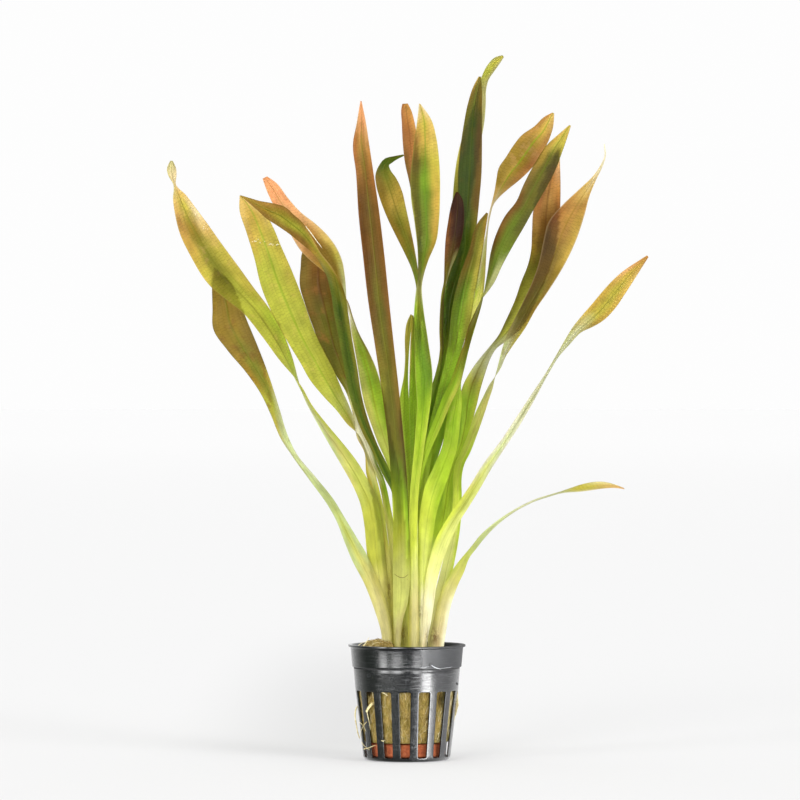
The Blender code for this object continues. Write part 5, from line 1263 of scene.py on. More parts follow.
# Dry slivers and flecks on the blades, and painted glints: the pale flecks across the bright left leaf are painted
# highlights, and the pale slivers along the drooping leaf's edge are partly a painted highlight
def scrap_material(name, low, high):
    net = Net(name)
    at = object_mm(net)
    tone = net.noise(at, 1.4, 4.0, 0.65)
    colour = net.ramp(tone, [(0.35, linear(low)), (0.65, linear(high))])
    return net.finish(net.principled(colour, 0.45, net.bump(tone, 0.6, 0.0002), specular=0.5))


pale_scraps_and_glints, dark_scraps = Joined(), Joined()


def sliver(joined, points, radii):
    seen = [seen_at(u, v, 0.12) for u, v in points]
    if None in seen or max(abs(a.y - b.y) for a, b in zip(seen, seen[1:])) > 2.5:
        return
    path = spline_path(seen, 4)
    at = np.linspace(0, 1, len(path))
    joined.strand(path, np.interp(at, np.linspace(0, 1, len(radii)), radii), 5)


# Pale crumpled skin on the drooping leaf's edge; its whiteness is partly a painted highlight
sliver(pale_scraps_and_glints, [(305.5, 226), (311, 233), (316, 240), (322, 248)], [0.10, 0.26, 0.18, 0.10])
sliver(pale_scraps_and_glints, [(318, 243), (325, 252), (331, 263), (335, 270), (338.5, 278)], [0.12, 0.30, 0.22, 0.30, 0.10])
sliver(pale_scraps_and_glints, [(312, 238), (317, 246), (320, 250)], [0.06, 0.16, 0.06])
sliver(pale_scraps_and_glints, [(327, 261), (333, 266), (336, 268)], [0.06, 0.18, 0.06])
sliver(dark_scraps, [(345, 424), (351, 434), (358, 442), (365, 451)], [0.08, 0.18, 0.18, 0.08])
sliver(dark_scraps, [(261.8, 180.6), (262.6, 181.2), (263.6, 181.6)], [0.25, 0.42, 0.25])
sliver(dark_scraps, [(394.5, 574), (399, 577), (404, 577.5), (408, 574.5)], [0.05, 0.09, 0.09, 0.05])
# Painted glints: near-white flecks that stand in for the highlights of the wet blade
for _ in range(16):
    u = rng.uniform(252, 281)
    v = 241.0 + (u - 252) * 0.14 + rng.normal(0, 1.1)
    turn, long = rng.uniform(0, math.pi), rng.uniform(0.6, 2.0)
    sliver(pale_scraps_and_glints, [(u, v), (u + long * math.cos(turn), v + long * math.sin(turn) * 0.6)], [0.08, rng.uniform(0.16, 0.30), 0.08])
for _ in range(12):
    u = rng.uniform(190, 214)
    v = 205 + (u - 190) * 1.5 + rng.normal(0, 3.0)
    sliver(pale_scraps_and_glints, [(u, v), (u + rng.uniform(0.5, 1.3), v + rng.uniform(-0.3, 0.9))], [0.06, 0.15, 0.06])
pale_scraps_and_glints.add("leaf_scraps_and_glints_pale", scrap_material("scrap_and_glint_pale", "d8d0a0", "f8f4e0"), "leaf_gold")
dark_scraps.add("leaf_scraps_dark", scrap_material("scrap_dark", "3a2412", "6a4a24"), "leaf_brown")


# ---------------------------------------------------------------- pot
def pot_radius(z):
    """Outer radius of the slotted wall at a height."""
    if z >= SLOT_TOP_Z:
        t = (z - SLOT_TOP_Z) / (COLLAR_Z - 0.15 - SLOT_TOP_Z)
        return SLOT_TOP_R + (BODY_R_TOP - SLOT_TOP_R) * t
    if z >= SLOT_LOW_Z:
        t = (z - SLOT_LOW_Z) / (SLOT_TOP_Z - SLOT_LOW_Z)
        return SLOT_LOW_R + (SLOT_TOP_R - SLOT_LOW_R) * t
    t = max(0.0, (z - 0.5) / (SLOT_LOW_Z - 0.5))
    return (SLOT_LOW_R - 0.5) + 0.5 * t


def slot_loop(width_of, z0, z1, corner, grow, across, up):
    """Points (x, z) round a rounded slot; across and up are the cell's points per side.
    They start in the lower left corner and run right, up, left and down."""
    half_h = (z1 - z0) / 2 + grow
    mid_z = (z0 + z1) / 2
    mid_w = width_of(mid_z) / 2
    half_w = mid_w + grow
    r = corner + grow
    out = []

    def arc(cx, cz, deg):
        return cx + r * math.cos(math.radians(deg)), cz + r * math.sin(math.radians(deg))

    def side(x0, za, x1, zb, n, deg_a, deg_b, ca, cb):
        # n steps: two on the first corner's arc, the straight, two on the last arc
        pts = [arc(*ca, deg_a), arc(*ca, (deg_a + deg_b) / 2 if False else deg_a + (deg_b - deg_a) / 2)]
        for i in range(n - 3):
            t = i / (n - 4)
            pts.append((x0 + (x1 - x0) * t, za + (zb - za) * t))
        return pts

    bl, br = (-half_w + r, mid_z - half_h + r), (half_w - r, mid_z - half_h + r)
    tl, tr = (-half_w + r, mid_z + half_h - r), (half_w - r, mid_z + half_h - r)
    for (c0, c1, d0, d1, n) in ((bl, br, 225, 270, across), (br, tr, 315, 360, up),
                                (tr, tl, 45, 90, across), (tl, bl, 135, 180, up)):
        p, q = arc(*c0, d1), arc(*c1, d1)
        out.append(arc(*c0, d0))
        out.append(arc(*c0, (d0 + d1) / 2))
        for i in range(n - 3):
            t = i / (n - 4)
            out.append((p[0] + (q[0] - p[0]) * t, p[1] + (q[1] - p[1]) * t))
        out.append(arc(*c1, d1 + 22.5))
    # Taper with the height
    return [(x * (width_of(z) / 2) / mid_w, z) for x, z in out]


def pot_visual(mat):
    bm = bmesh.new()
    per = 12
    sectors = SLOTS * per
    pitch = 360.0 / SLOTS
    phase = SLOT_PHASE - 90.0 - pitch / 2
    up = 14
    z_top, z_low = SLOT_TOP_Z + 0.9, SLOT_LOW_Z - 0.75

    def vert(r, deg, z):
        a = math.radians(deg)
        return bm.verts.new((r * math.cos(a) * MM, r * math.sin(a) * MM, z * MM))

    def circle(r, z):
        return [vert(r, phase + 360.0 * i / sectors, z) for i in range(sectors)]

    def join(rings):
        for lo, hi in zip(rings, rings[1:]):
            for i in range(sectors):
                j = (i + 1) % sectors
                bm.faces.new((lo[i], lo[j], hi[j], hi[i]))

    top_out = circle(pot_radius(z_top), z_top)
    low_out = circle(pot_radius(z_low), z_low)
    top_in = circle(pot_radius(z_top) - WALL, z_top)
    low_in = circle(pot_radius(z_low) - WALL - 0.05, z_low + 0.75)
    # Outside, from the cells up over the collar and flange and down inside
    upper = [(pot_radius(34.0), 34.0), (pot_radius(37.5), 37.5), (BODY_R_TOP - 0.1, 38.9),
             (BODY_R_TOP - 0.28, 39.15), (BODY_R_TOP - 0.22, 39.45), (COLLAR_R_LOW - 0.16, 39.5),
             (COLLAR_R_LOW, 39.68), (COLLAR_R_LOW + 0.03, 40.1), (COLLAR_R_LOW + 0.32, 43.5),
             (COLLAR_R_TOP - 0.1, 47.0), (COLLAR_R_TOP, 47.72), (COLLAR_R_TOP + 0.12, 47.88),
             (FLANGE_R - 0.28, 48.02), (FLANGE_R - 0.06, 48.14), (FLANGE_R, 48.36), (FLANGE_R, 48.7),
             (FLANGE_R - 0.09, 48.9), (FLANGE_R - 0.27, POT_TOP), (COLLAR_R_TOP + 0.25, POT_TOP),
             (COLLAR_R_TOP - 0.1, POT_TOP - 0.02), (COLLAR_R_TOP - 0.36, POT_TOP - 0.12),
             (COLLAR_R_TOP - 0.62, POT_TOP - 0.4), (COLLAR_R_TOP - WALL + 0.03, POT_TOP - 0.9),
             (COLLAR_R_LOW - WALL + 0.05, 41.0), (COLLAR_R_LOW - WALL, COLLAR_Z),
             (BODY_R_TOP - WALL, COLLAR_Z - 0.8), (pot_radius(34.0) - WALL, 34.0)]
    join([top_out] + [circle(r, z) for r, z in upper] + [top_in])
    # Foot, underside and floor
    foot = [(SLOT_LOW_R - 0.62, 0.42), (SLOT_LOW_R - 0.85, 0.16), (SLOT_LOW_R - 1.15, 0.03),
            (FOOT_R - 0.1, 0.0), (FLOOR_HOLE_R[1] + 0.25, 0.0)]
    under = [circle(r, z) for r, z in foot]
    join([low_out] + under)
    inside = [circle(r, z) for r, z in
              [(SLOT_LOW_R - WALL - 0.5, FLOOR + 0.02), (FLOOR_HOLE_R[1] + 0.25, FLOOR)]]
    join([low_in] + inside)
    # Floor with eight rounded holes between two rings
    r0, r1 = FLOOR_HOLE_R
    hubs = [circle(r0 - 0.25, 0.0), circle(r0 - 0.25, FLOOR)]
    n_hole = sectors // 8
    steps_r = 6
    for z_a, outer, hub in ((0.0, under[-1], hubs[0]), (FLOOR, inside[-1], hubs[1])):
        pass
    hole_loops = []
    for h in range(8):
        first = h * n_hole
        hole = n_hole // 2

        def hole_points(grow, z):
            pts = []
            a0, a1 = first + 0.35, first + hole - 0.35
            ra, rb = r0 + 0.15 - grow, r1 - 0.15 + grow
            dg = grow / 11.0 / (2 * math.pi / sectors)
            for i in range(hole + 1):
                pts.append((rb, a0 - dg + (a1 - a0 + 2 * dg) * i / hole))
            for i in range(1, steps_r):
                pts.append((rb + (ra - rb) * i / steps_r, a1 + dg))
            for i in range(hole + 1):
                pts.append((ra, a1 + dg - (a1 - a0 + 2 * dg) * i / hole))
            for i in range(1, steps_r):
                pts.append((ra + (rb - ra) * i / steps_r, a0 - dg))
            return [vert(r, phase + 360.0 * k / sectors, z) for r, k in pts]

        loops = [hole_points(0.0, 0.0), hole_points(-0.12, 0.15), hole_points(-0.12, FLOOR - 0.15), hole_points(0.0, FLOOR)]
        for lo, hi in zip(loops, loops[1:]):
            for i in range(len(lo)):
                j = (i + 1) % len(lo)
                bm.faces.new((lo[i], lo[j], hi[j], hi[i]))
        hole_loops.append((loops[0], loops[-1]))
    for level, (outer, hub, z) in enumerate(((under[-1], hubs[0], 0.0), (inside[-1], hubs[1], FLOOR))):
        spokes = {}

        def spoke(i):
            i = i % sectors
            if i not in spokes:
                spokes[i] = [outer[i]] + [vert((r1 + 0.25) + (r0 - 0.25 - r1 - 0.25) * k / steps_r, phase + 360.0 * i / sectors, z)
                                          for k in range(1, steps_r)] + [hub[i]]
            return spokes[i]

        for h in range(8):
            first = h * n_hole
            hole = n_hole // 2
            cell = [outer[(first + i) % sectors] for i in range(hole + 1)]
            cell += spoke(first + hole)[1:-1]
            cell += [hub[(first + hole - i) % sectors] for i in range(hole + 1)]
            cell += spoke(first)[1:-1][::-1]
            loop = hole_loops[h][level]
            for i in range(len(loop)):
                j = (i + 1) % len(loop)
                bm.faces.new((cell[i], cell[j], loop[j], loop[i]))
            for i in range(first + hole, first + n_hole):
                p, q = spoke(i), spoke(i + 1)
                for k in range(steps_r):
                    bm.faces.new((p[k], q[k], q[k + 1], p[k + 1]))
        centre = bm.verts.new((0, 0, z * MM))
        rings = [hub] + [circle(r, z) for r in (5.5, 2.5)]
        join(rings)
        for i in range(sectors):
            bm.faces.new((rings[-1][i], rings[-1][(i + 1) % sectors], centre))
    # Wall cells with a rounded slot each
    def slot_width(z):
        wide = 13.3 if z > SLOT_TOP_Z else 11.9 + 1.4 * (z - SLOT_LOW_Z) / (SLOT_TOP_Z - SLOT_LOW_Z)
        return math.radians(wide) * pot_radius(z)

    sides_out, sides_in = {}, {}
    for h in range(SLOTS):
        k = h * per
        sides_out[h] = [low_out[k]] + [vert(pot_radius(z_low + (z_top - z_low) * i / up), phase + pitch * h,
                                            z_low + (z_top - z_low) * i / up) for i in range(1, up)] + [top_out[k]]
        zi = z_low + 0.75
        sides_in[h] = [low_in[k]] + [vert(pot_radius(zi + (z_top - zi) * i / up) - WALL, phase + pitch * h,
                                          zi + (z_top - zi) * i / up) for i in range(1, up)] + [top_in[k]]
    for h in range(SLOTS):
        g = (h + 1) % SLOTS
        k = h * per

        def boundary(low, top, sides):
            loop = [low[(k + i) % sectors] for i in range(per + 1)]
            loop += sides[g][1:-1]
            loop += [top[(k + per - i) % sectors] for i in range(per + 1)]
            loop += sides[h][1:-1][::-1]
            return loop

        outer, inner = boundary(low_out, top_out, sides_out), boundary(low_in, top_in, sides_in)
        middle = phase + pitch * (h + 0.5)
        layers = [(0.55, 0.0), (0.20, 0.0), (0.06, 0.05), (0.0, 0.2), (0.0, WALL - 0.2), (0.06, WALL - 0.05), (0.25, WALL)]
        rings = [outer]
        for grow, depth in layers:
            loop = slot_loop(slot_width, SLOT_LOW_Z, SLOT_TOP_Z, 0.75, grow, per, up)
            ring = []
            for x, z in loop:
                r = pot_radius(z) - depth
                zz = z if z > SLOT_LOW_Z or depth == 0.0 else z
                ring.append(vert(r, middle + math.degrees(x / pot_radius(z)), max(zz, 0.45 + depth * 0.6)))
            rings.append(ring)
        rings.append(inner)
        for lo, hi in zip(rings, rings[1:]):
            n = len(lo)
            assert n == len(hi), (n, len(hi))
            for i in range(n):
                j = (i + 1) % n
                bm.faces.new((lo[i], lo[j], hi[j], hi[i]))
    bmesh.ops.recalc_face_normals(bm, faces=bm.faces)
    if bm.calc_volume(signed=True) < 0:
        bmesh.ops.reverse_faces(bm, faces=bm.faces)
    mesh = bpy.data.meshes.new("pot_shell")
    bm.to_mesh(mesh)
    bm.free()
    mesh.shade_smooth()
    mesh.set_sharp_from_angle(angle=math.radians(50))
    mesh.materials.append(mat)
    obj = bpy.data.objects.new("pot_shell", mesh)
    bpy.context.scene.collection.objects.link(obj)
    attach(obj, "root")
    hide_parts("pot")
    return obj


def pot_material():
    net = Net("black_plastic")
    at = object_mm(net)
    x, y, z = net.separate(at)
    angle = net.math("ARCTAN2", y, x)
    turned = net.combine(net.math("MULTIPLY", angle, 22.0), z, 0.0)
    # Mould striations run round the pot, and scuffs run any way; the lighter scuff patches are partly real scuffs and
    # partly a painted highlight.
    stria = net.noise(net.combine(net.math("MULTIPLY", angle, 3.0), net.math("MULTIPLY", z, 6.0), 1.0), detail=3.0, rough=0.6)
    scratch = net.noise(net.combine(net.math("MULTIPLY", angle, 2.0), net.math("MULTIPLY", z, 17.0), 4.0), detail=2.0)
    scratch = net.range(scratch, 0.60, 0.70)
    slant = net.noise(net.combine(net.math("ADD", net.math("MULTIPLY", angle, 70.0), net.math("MULTIPLY", z, 0.6)), net.math("MULTIPLY", z, 0.35), 9.0), detail=3.0)
    slant = net.range(slant, 0.63, 0.74)
    scuff_and_highlight = net.range(net.noise(turned, 0.28, 5.0, 0.7), 0.48, 0.75)
    dust = net.range(net.noise(at, 1.6, 6.0, 0.75), 0.60, 0.80)
    tint = net.range(x, -24.0, 16.0)
    colour = net.mix(tint, linear("0e130e"), linear("0e1014"))
    colour = net.mix(net.math("MULTIPLY", scuff_and_highlight, 0.22), colour, linear("303338"))
    colour = net.mix(net.math("MULTIPLY", scratch, 0.30), colour, linear("55585c"))
    colour = net.mix(net.math("MULTIPLY", net.math("MULTIPLY", slant, scuff_and_highlight), 0.35), colour, linear("606468"))
    colour = net.mix(net.math("MULTIPLY", dust, 0.28), colour, linear("7a7868"))
    worn_low = net.math("MULTIPLY", net.range(z, 40.0, 39.0), net.range(x, 8.0, 3.0))
    worn_top = net.math("MULTIPLY", net.range(z, 39.0, 40.0), net.range(net.math("ADD", x, net.math("MULTIPLY", scuff_and_highlight, 1.5)), 4.6, 10.0))
    rough = net.math("ADD", net.range(stria, 0.3, 0.7, 0.11, 0.19, smooth=False),
                     net.math("ADD", net.math("MULTIPLY", worn_low, 0.06), net.math("MULTIPLY", worn_top, 0.42)))
    rough = net.math("ADD", rough, net.math("MULTIPLY", scuff_and_highlight, 0.12), clamp=True)
    # Painted shadow: a near-black band under the collar's step, also made rougher
    step_shadow = net.math("MULTIPLY", net.range(z, 39.62, 39.50), net.range(z, 38.75, 39.05))
    colour = net.mix(net.math("MULTIPLY", step_shadow, 0.9), colour, linear("060606"))
    rough = net.math("ADD", rough, net.math("MULTIPLY", step_shadow, 0.5), clamp=True)
    height = net.math("ADD", net.math("MULTIPLY", stria, 0.6), net.math("MULTIPLY", scratch, -0.8))
    height = net.math("ADD", height, net.math("MULTIPLY", slant, -0.6))
    height = net.math("ADD", height, net.math("MULTIPLY", net.noise(at, 1.2, 3.0), 0.5))
    height = net.math("ADD", height, net.math("MULTIPLY", net.math("MINIMUM", z, 39.3), 3.4))
    normal = net.bump(height, 0.4, 0.00006)
    return net.finish(net.principled(colour, rough, normal, specular=0.75))


pot_visual(pot_material())


def flash_material(name, low, high):
    net = Net(name)
    at = object_mm(net)
    tone = net.noise(at, 2.0, 3.0, 0.6)
    return net.finish(net.principled(net.ramp(tone, [(0.3, linear(low)), (0.7, linear(high))]), 0.35, net.bump(tone, 0.5, 0.0001), specular=0.5))


def on_wall(u, v, radius):
    """The point of the front wall, at a radius, that the elevation shows at (u, v)."""
    at = place(u, v, -radius)
    for _ in range(4):
        at = place(u, v, -math.sqrt(radius**2 - at.x**2))
    return at


# Flash of the mould on the collar's lower edge and thin lines along that edge, coloured pale as a painted highlight,
# with the nick beside it in near-black as painted shade
for name, low, high, traces in (
        ("pot_flash_highlight", "a8acb0", "e4e8ea", (([(431.5, 665.2), (434.0, 667.0), (437.0, 668.2), (441.0, 669.2)], (0.06, 0.20, 0.22, 0.08)),
                                           ([(421.0, 667.4), (425.0, 667.2), (429.0, 666.8)], (0.03, 0.07, 0.04)),
                                           ([(441.0, 668.6), (447.0, 667.8), (452.0, 667.0)], (0.05, 0.08, 0.04)))),
        ("pot_nick_shade", "050505", "101010", (([(430.0, 666.4), (429.2, 664.4), (431.0, 663.2), (433.6, 664.2)], (0.12, 0.22, 0.20, 0.08)),
                                          ([(457.2, 683.0), (457.8, 684.6)], (0.22, 0.22))))):
    trace = Joined()
    for points, radii in traces:
        path = spline_path([on_wall(u, v, 23.42 if v < 675 else 22.35) for u, v in points], 4)
        trace.strand(path, np.interp(np.linspace(0, 1, len(path)), np.linspace(0, 1, len(radii)), radii), 6)
    trace.add(name, flash_material(name, low, high), "black_plastic")


# ---------------------------------------------------------------- clay ring
def clay_material():
    net = Net("fired_clay")
    at = object_mm(net)
    coarse = net.noise(at, 0.45, 5.0, 0.65)
    grain = net.noise(at, 3.0, 4.0, 0.7)
    pits = net.add("ShaderNodeTexVoronoi", {"Vector": at, "Scale": 1.7}).outputs["Distance"]
    pits = net.range(pits, 0.22, 0.05)
    colour = net.ramp(coarse, [(0.3, linear("84402a")), (0.5, linear("ac5634")), (0.7, linear("c67850"))])
    colour = net.mix(net.range(grain, 0.45, 0.75, 0.0, 0.6), colour, linear("d88a5a"))
    # Painted shade: darker in the pits
    colour = net.mix(net.math("MULTIPLY", pits, 0.6), colour, linear("6a2a14"))
    height = net.math("SUBTRACT", net.math("ADD", coarse, net.math("MULTIPLY", grain, 0.5)), pits)
    return net.finish(net.principled(colour, 0.85, net.bump(height, 0.9, 0.0004), specular=0.25))


def lathe_verts(profile, count, bump=0.0, seed=0.0, cx=0.0, cy=0.0, squeeze=(1.0, 1.0), scale=0.5):
    verts = []
    for r, z in profile:
        for i in range(count):
            a = 2 * math.pi * i / count
            p = Vector((cx + r * squeeze[0] * math.cos(a), cy + r * squeeze[1] * math.sin(a), z))
            if bump:
                d = noise.noise(Vector((p.x * scale + seed, p.y * scale, p.z * scale))) * bump
                out = Vector((math.cos(a), math.sin(a), 0.0))
                p = p + out * d
            verts.append(p)
    return verts


def lathe_faces(rows, count, closed=False, caps=True):
    faces = []
    pairs = [(k, k + 1) for k in range(rows - 1)] + ([(rows - 1, 0)] if closed else [])
    for k, m in pairs:
        for i in range(count):
            j = (i + 1) % count
            faces.append([k * count + i, k * count + j, m * count + j, m * count + i])
    if not closed and caps:
        faces.append([i for i in reversed(range(count))])
        faces.append([(rows - 1) * count + i for i in range(count)])
    return faces


z0, z1 = CLAY_Z
clay_profile = []
for cr, cz, d0 in ((CLAY_R_OUT - 0.9, z0 + 0.9, -90), (CLAY_R_OUT - 0.9, z1 - 0.9, 0),
                   (CLAY_R_IN + 0.9, z1 - 0.9, 90), (CLAY_R_IN + 0.9, z0 + 0.9, 180)):
    for i in range(6):
        d = math.radians(d0 + 90 * i / 5)
        clay_profile.append((cr + 0.9 * math.cos(d), cz + 0.9 * math.sin(d)))
clay_verts = lathe_verts(clay_profile, 120, 0.35, 3.0, scale=0.7)
clay_faces = outward(clay_verts, lathe_faces(len(clay_profile), 120, closed=True))
clay = add_mesh("clay_ring_body", clay_verts, clay_faces, clay_material())
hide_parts("clay_ring")


# ---------------------------------------------------------------- mineral wool
def wool_material():
    net = Net("wool_body")
    at = object_mm(net)
    x, y, z = net.separate(at)
    fibre = net.noise(net.combine(net.math("MULTIPLY", x, 2.4), net.math("MULTIPLY", y, 2.4), net.math("MULTIPLY", z, 0.5)), detail=5.0, rough=0.7, distort=1.2)
    clump = net.noise(at, 0.22, 4.0, 0.6)
    colour = net.ramp(fibre, [(0.30, linear("5a4a1c")), (0.43, linear("a08644")), (0.56, linear("c8ae66")), (0.72, linear("e2d2a0"))])
    colour = net.mix(net.range(clump, 0.42, 0.62, 0.0, 0.6), colour, net.ramp(fibre, [(0.3, linear("544a18")), (0.6, linear("9c9040")), (0.8, linear("c8be78"))]))
    colour = net.mix(1.0, colour, net.mix(net.range(z, 43.5, 45.5), (0.90, 0.88, 0.84, 1), (0.62, 0.55, 0.42, 1)), "MULTIPLY")
    colour = net.mix(net.range(x, 13.5, 16.5, 0.0, 0.75), colour, linear("dcd48c"))
    # Painted shade: near-black in the hollows of the plug's side
    colour = net.mix(net.math("MULTIPLY", net.attribute("HollowShade"), 0.93), colour, linear("24150a"))
    height = net.math("ADD", fibre, net.math("MULTIPLY", clump, 0.5))
    return net.finish(net.principled(colour, 0.95, net.bump(height, 1.0, 0.0008), specular=0.15))


def fibre_material():
    net = Net("wool_fibres")
    at = object_mm(net)
    shade = net.attribute("Shade")
    colour = net.ramp(shade, [(0.0, linear("6a5420")), (0.3, linear("a08844")), (0.6, linear("c2aa62")), (0.85, linear("dccc94")), (1.0, linear("f0e6c0"))])
    tone = net.range(net.noise(at, 0.9, 3.0), 0.3, 0.7, 0.75, 1.2, smooth=False)
    colour = net.mix(1.0, colour, net.combine(tone, tone, tone), "MULTIPLY")
    return net.finish(net.principled(colour, 0.7, specular=0.25))


def wool_top(x, y):
    t = max(0.0, min(1.0, (-x - 2.0) / 6.5))
    t = t * t * (3 - 2 * t)
    back = max(0.0, min(1.0, (y + 17.0) / 11.0))
    edge = max(0.0, min(1.0, (22.3 - math.hypot(x, y)) / 6.5)) ** 0.7
    ripple = 0.35 * math.sin(0.9 * x + 0.4) * math.cos(0.8 * y)
    far = max(0.0, min(1.0, (math.hypot(x - 4.0, y) - 9.0) / 4.0))
    lump = (noise.noise(Vector((x * 0.33, y * 0.33, 11.0))) * 1.5 + noise.noise(Vector((x * 0.9, y * 0.9, 4.0))) * 0.9) * t * edge
    return WOOL_Z[1] + (WOOL_MOUND - 0.2) * t * back * edge + lump + ripple * far - 0.3 * far


# Hollows in the plug's side, as the elevation shows them: middle, half width and height, depth. They are pushed in and
# darkened near-black as painted shade.
VOIDS = ((441.5, 700.0, 2.6, 8.5, 1.6), (368.0, 692.0, 4.5, 6.0, 1.0), (358.0, 712.0, 2.0, 22.0, 1.0))


def void_at(x, y, z):
    k = (EYE_Y + y) / FOCUS
    u, v = 400 + (x - EYE_X) / k, 400 - (z - EYE_Z) / k
    if y > 2.0:
        return 0.0, 0.0
    found = [(math.exp(-((u - a) / b) ** 2 - ((v - c) / d) ** 2), deep) for a, c, b, d, deep in VOIDS]
    return max(f for f, _ in found), max(f * deep for f, deep in found)


def wool_radius(z):
    if z < SLOT_TOP_Z:
        return pot_radius(z) - WALL - 0.35
    if z < COLLAR_Z - 1:
        return pot_radius(z) - WALL - 0.3
    return COLLAR_R_LOW - WALL - 0.35


count = 176
wool_verts, wool_hollow_shade = [], []
side_rows = 56
for k in range(side_rows):
    z = WOOL_Z[0] + (WOOL_Z[1] - 0.6 - WOOL_Z[0]) * k / (side_rows - 1)
    for i in range(count):
        a = 2 * math.pi * i / count
        p = Vector((math.cos(a) * 9.0, math.sin(a) * 9.0, z * 0.55))
        d = noise.noise(p * 0.55) * 0.9 + noise.noise(p * 1.7 + Vector((5, 0, 0))) * 0.45
        r = wool_radius(z) - 0.55 + d * 0.9
        r = min(r, wool_radius(z) + 0.05)
        dark, deep = void_at(r * math.cos(a), r * math.sin(a), z)
        wool_hollow_shade.append(dark)
        r -= deep
        wool_verts.append((r * math.cos(a), r * math.sin(a), z))
top_rows = [0.985, 0.95, 0.9, 0.84, 0.77, 0.70, 0.62, 0.54, 0.46, 0.38, 0.30, 0.22, 0.14, 0.06]
for f in top_rows:
    for i in range(count):
        a = 2 * math.pi * i / count
        r = wool_radius(WOOL_Z[1]) * f - 0.3
        x, y = r * math.cos(a), r * math.sin(a)
        bumpy = noise.noise(Vector((x * 0.45, y * 0.45, 3.0))) * 0.7 + noise.noise(Vector((x * 1.3, y * 1.3, 7.0))) * 0.4
        wool_verts.append((x, y, wool_top(x, y) + bumpy * (0.4 if f > 0.97 else 1.0)))
        wool_hollow_shade.append(0.0)
wool_faces = lathe_faces(side_rows + len(top_rows), count)
wool_faces = outward(wool_verts, wool_faces)
wool = add_mesh("mineral_wool_body", wool_verts, wool_faces, wool_material(), floats={"HollowShade": wool_hollow_shade})
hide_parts("mineral_wool")

fibres = Joined()
# Fibres matted on the plug's side
for _ in range(2600):
    a = rng.uniform(-math.pi, math.pi)
    z = rng.uniform(WOOL_Z[0] + 1.0, 38.0)
    lean = rng.normal(0.0, 0.55)
    long = rng.uniform(2.5, 8.5)
    bend = rng.normal(0, 0.10)
    lift = rng.uniform(-0.35, 0.25)
    if void_at(wool_radius(z) * math.cos(a), wool_radius(z) * math.sin(a), z)[0] > 0.25:
        continue
    pts = []
    for t in np.linspace(-0.5, 0.5, 6):
        zz = min(max(z + long * t * math.cos(lean), WOOL_Z[0] + 0.3), 39.0)
        aa = a + (long * t * math.sin(lean) + bend * long * (4 * t * t - 0.5)) / 20.0
        r = wool_radius(zz) + lift * (1 - 3 * t * t) - 0.12 + 0.12 * math.sin(9 * t + a * 5)
        r = min(r, pot_radius(zz) - WALL - 0.07)
        pts.append((r * math.cos(aa), r * math.sin(aa), zz))
    fibres.strand(pts, rng.uniform(0.03, 0.075), 3, shade=float(np.clip(rng.normal(0.5, 0.28) + (0.35 if math.cos(a) > 0.72 else 0.0), 0, 1)))
# Fibres on the top and the heap
for n in range(2500):
    a = rng.uniform(-math.pi, math.pi)
    r = 20.8 * math.sqrt(rng.uniform(0.02, 1.0))
    x, y = r * math.cos(a), r * math.sin(a)
    if n > 1500:
        x, y = rng.uniform(-19.5, -5.0), rng.uniform(-17.0, -1.0)
        if math.hypot(x, y) > 21.0:
            continue
    elif x > -10 and rng.uniform() < 0.35:
        continue
    turn = rng.uniform(-math.pi, math.pi)
    long = rng.uniform(2.0, 6.5)
    up = rng.uniform(0.0, 0.9)
    pts = []
    for t in np.linspace(-0.5, 0.5, 6):
        px, py = x + long * t * math.cos(turn), y + long * t * math.sin(turn)
        far = math.hypot(px, py)
        if far > 21.3:
            px, py = px * 21.3 / far, py * 21.3 / far
        pts.append((px, py, wool_top(px, py) + 0.1 + up * (0.5 - 2 * t * t) + 0.2 * math.sin(7 * t + a)))
    fibres.strand(pts, rng.uniform(0.03, 0.07), 3, shade=float(np.clip(rng.normal(0.36, 0.30), 0, 1)))
# A tuft that bulges out of the slot at the right
for _ in range(260):
    a = math.radians(rng.normal(-3.0 + SLOT_PHASE, 2.2))
    z = rng.uniform(17.0, 28.0)
    out = rng.uniform(0.2, 1.3) * max(0.0, 1 - abs(z - 23.0) / 7.5)
    lean = rng.normal(0.0, 0.5)
    long = rng.uniform(2.5, 7.0)
    pts = []
    for t in np.linspace(-0.5, 0.5, 7):
        zz = z + long * t * math.cos(lean)
        aa = a + long * t * math.sin(lean) / 22.0
        r = pot_radius(zz) - 1.2 + (out + 0.9) * max(0.0, 1 - 4 * t * t)
        pts.append((r * math.cos(aa), r * math.sin(aa), zz))
    fibres.strand(pts, rng.uniform(0.03, 0.07), 3, shade=float(np.clip(rng.normal(0.92, 0.12), 0, 1)))
fibres.add("mineral_wool_fibres", fibre_material(), "mineral_wool")


# ---------------------------------------------------------------- crowns
def stem_material():
    net = Net("stem")
    at = object_mm(net)
    x, y, z = net.separate(at)
    streak = net.noise(net.combine(net.math("MULTIPLY", x, 1.6), net.math("MULTIPLY", y, 1.6), net.math("MULTIPLY", z, 0.15)), detail=4.0, rough=0.6)
    stain = net.range(net.noise(at, 0.4, 5.0, 0.7), 0.48, 0.7)
    colour = net.ramp(streak, [(0.3, linear("b4a868")), (0.5, linear("dcd49c")), (0.7, linear("eeeac8"))])
    colour = net.mix(net.math("MULTIPLY", stain, 0.6), colour, linear("8a6a34"))
    return net.finish(net.principled(colour, 0.5, net.bump(streak, 0.6, 0.0003), specular=0.4))


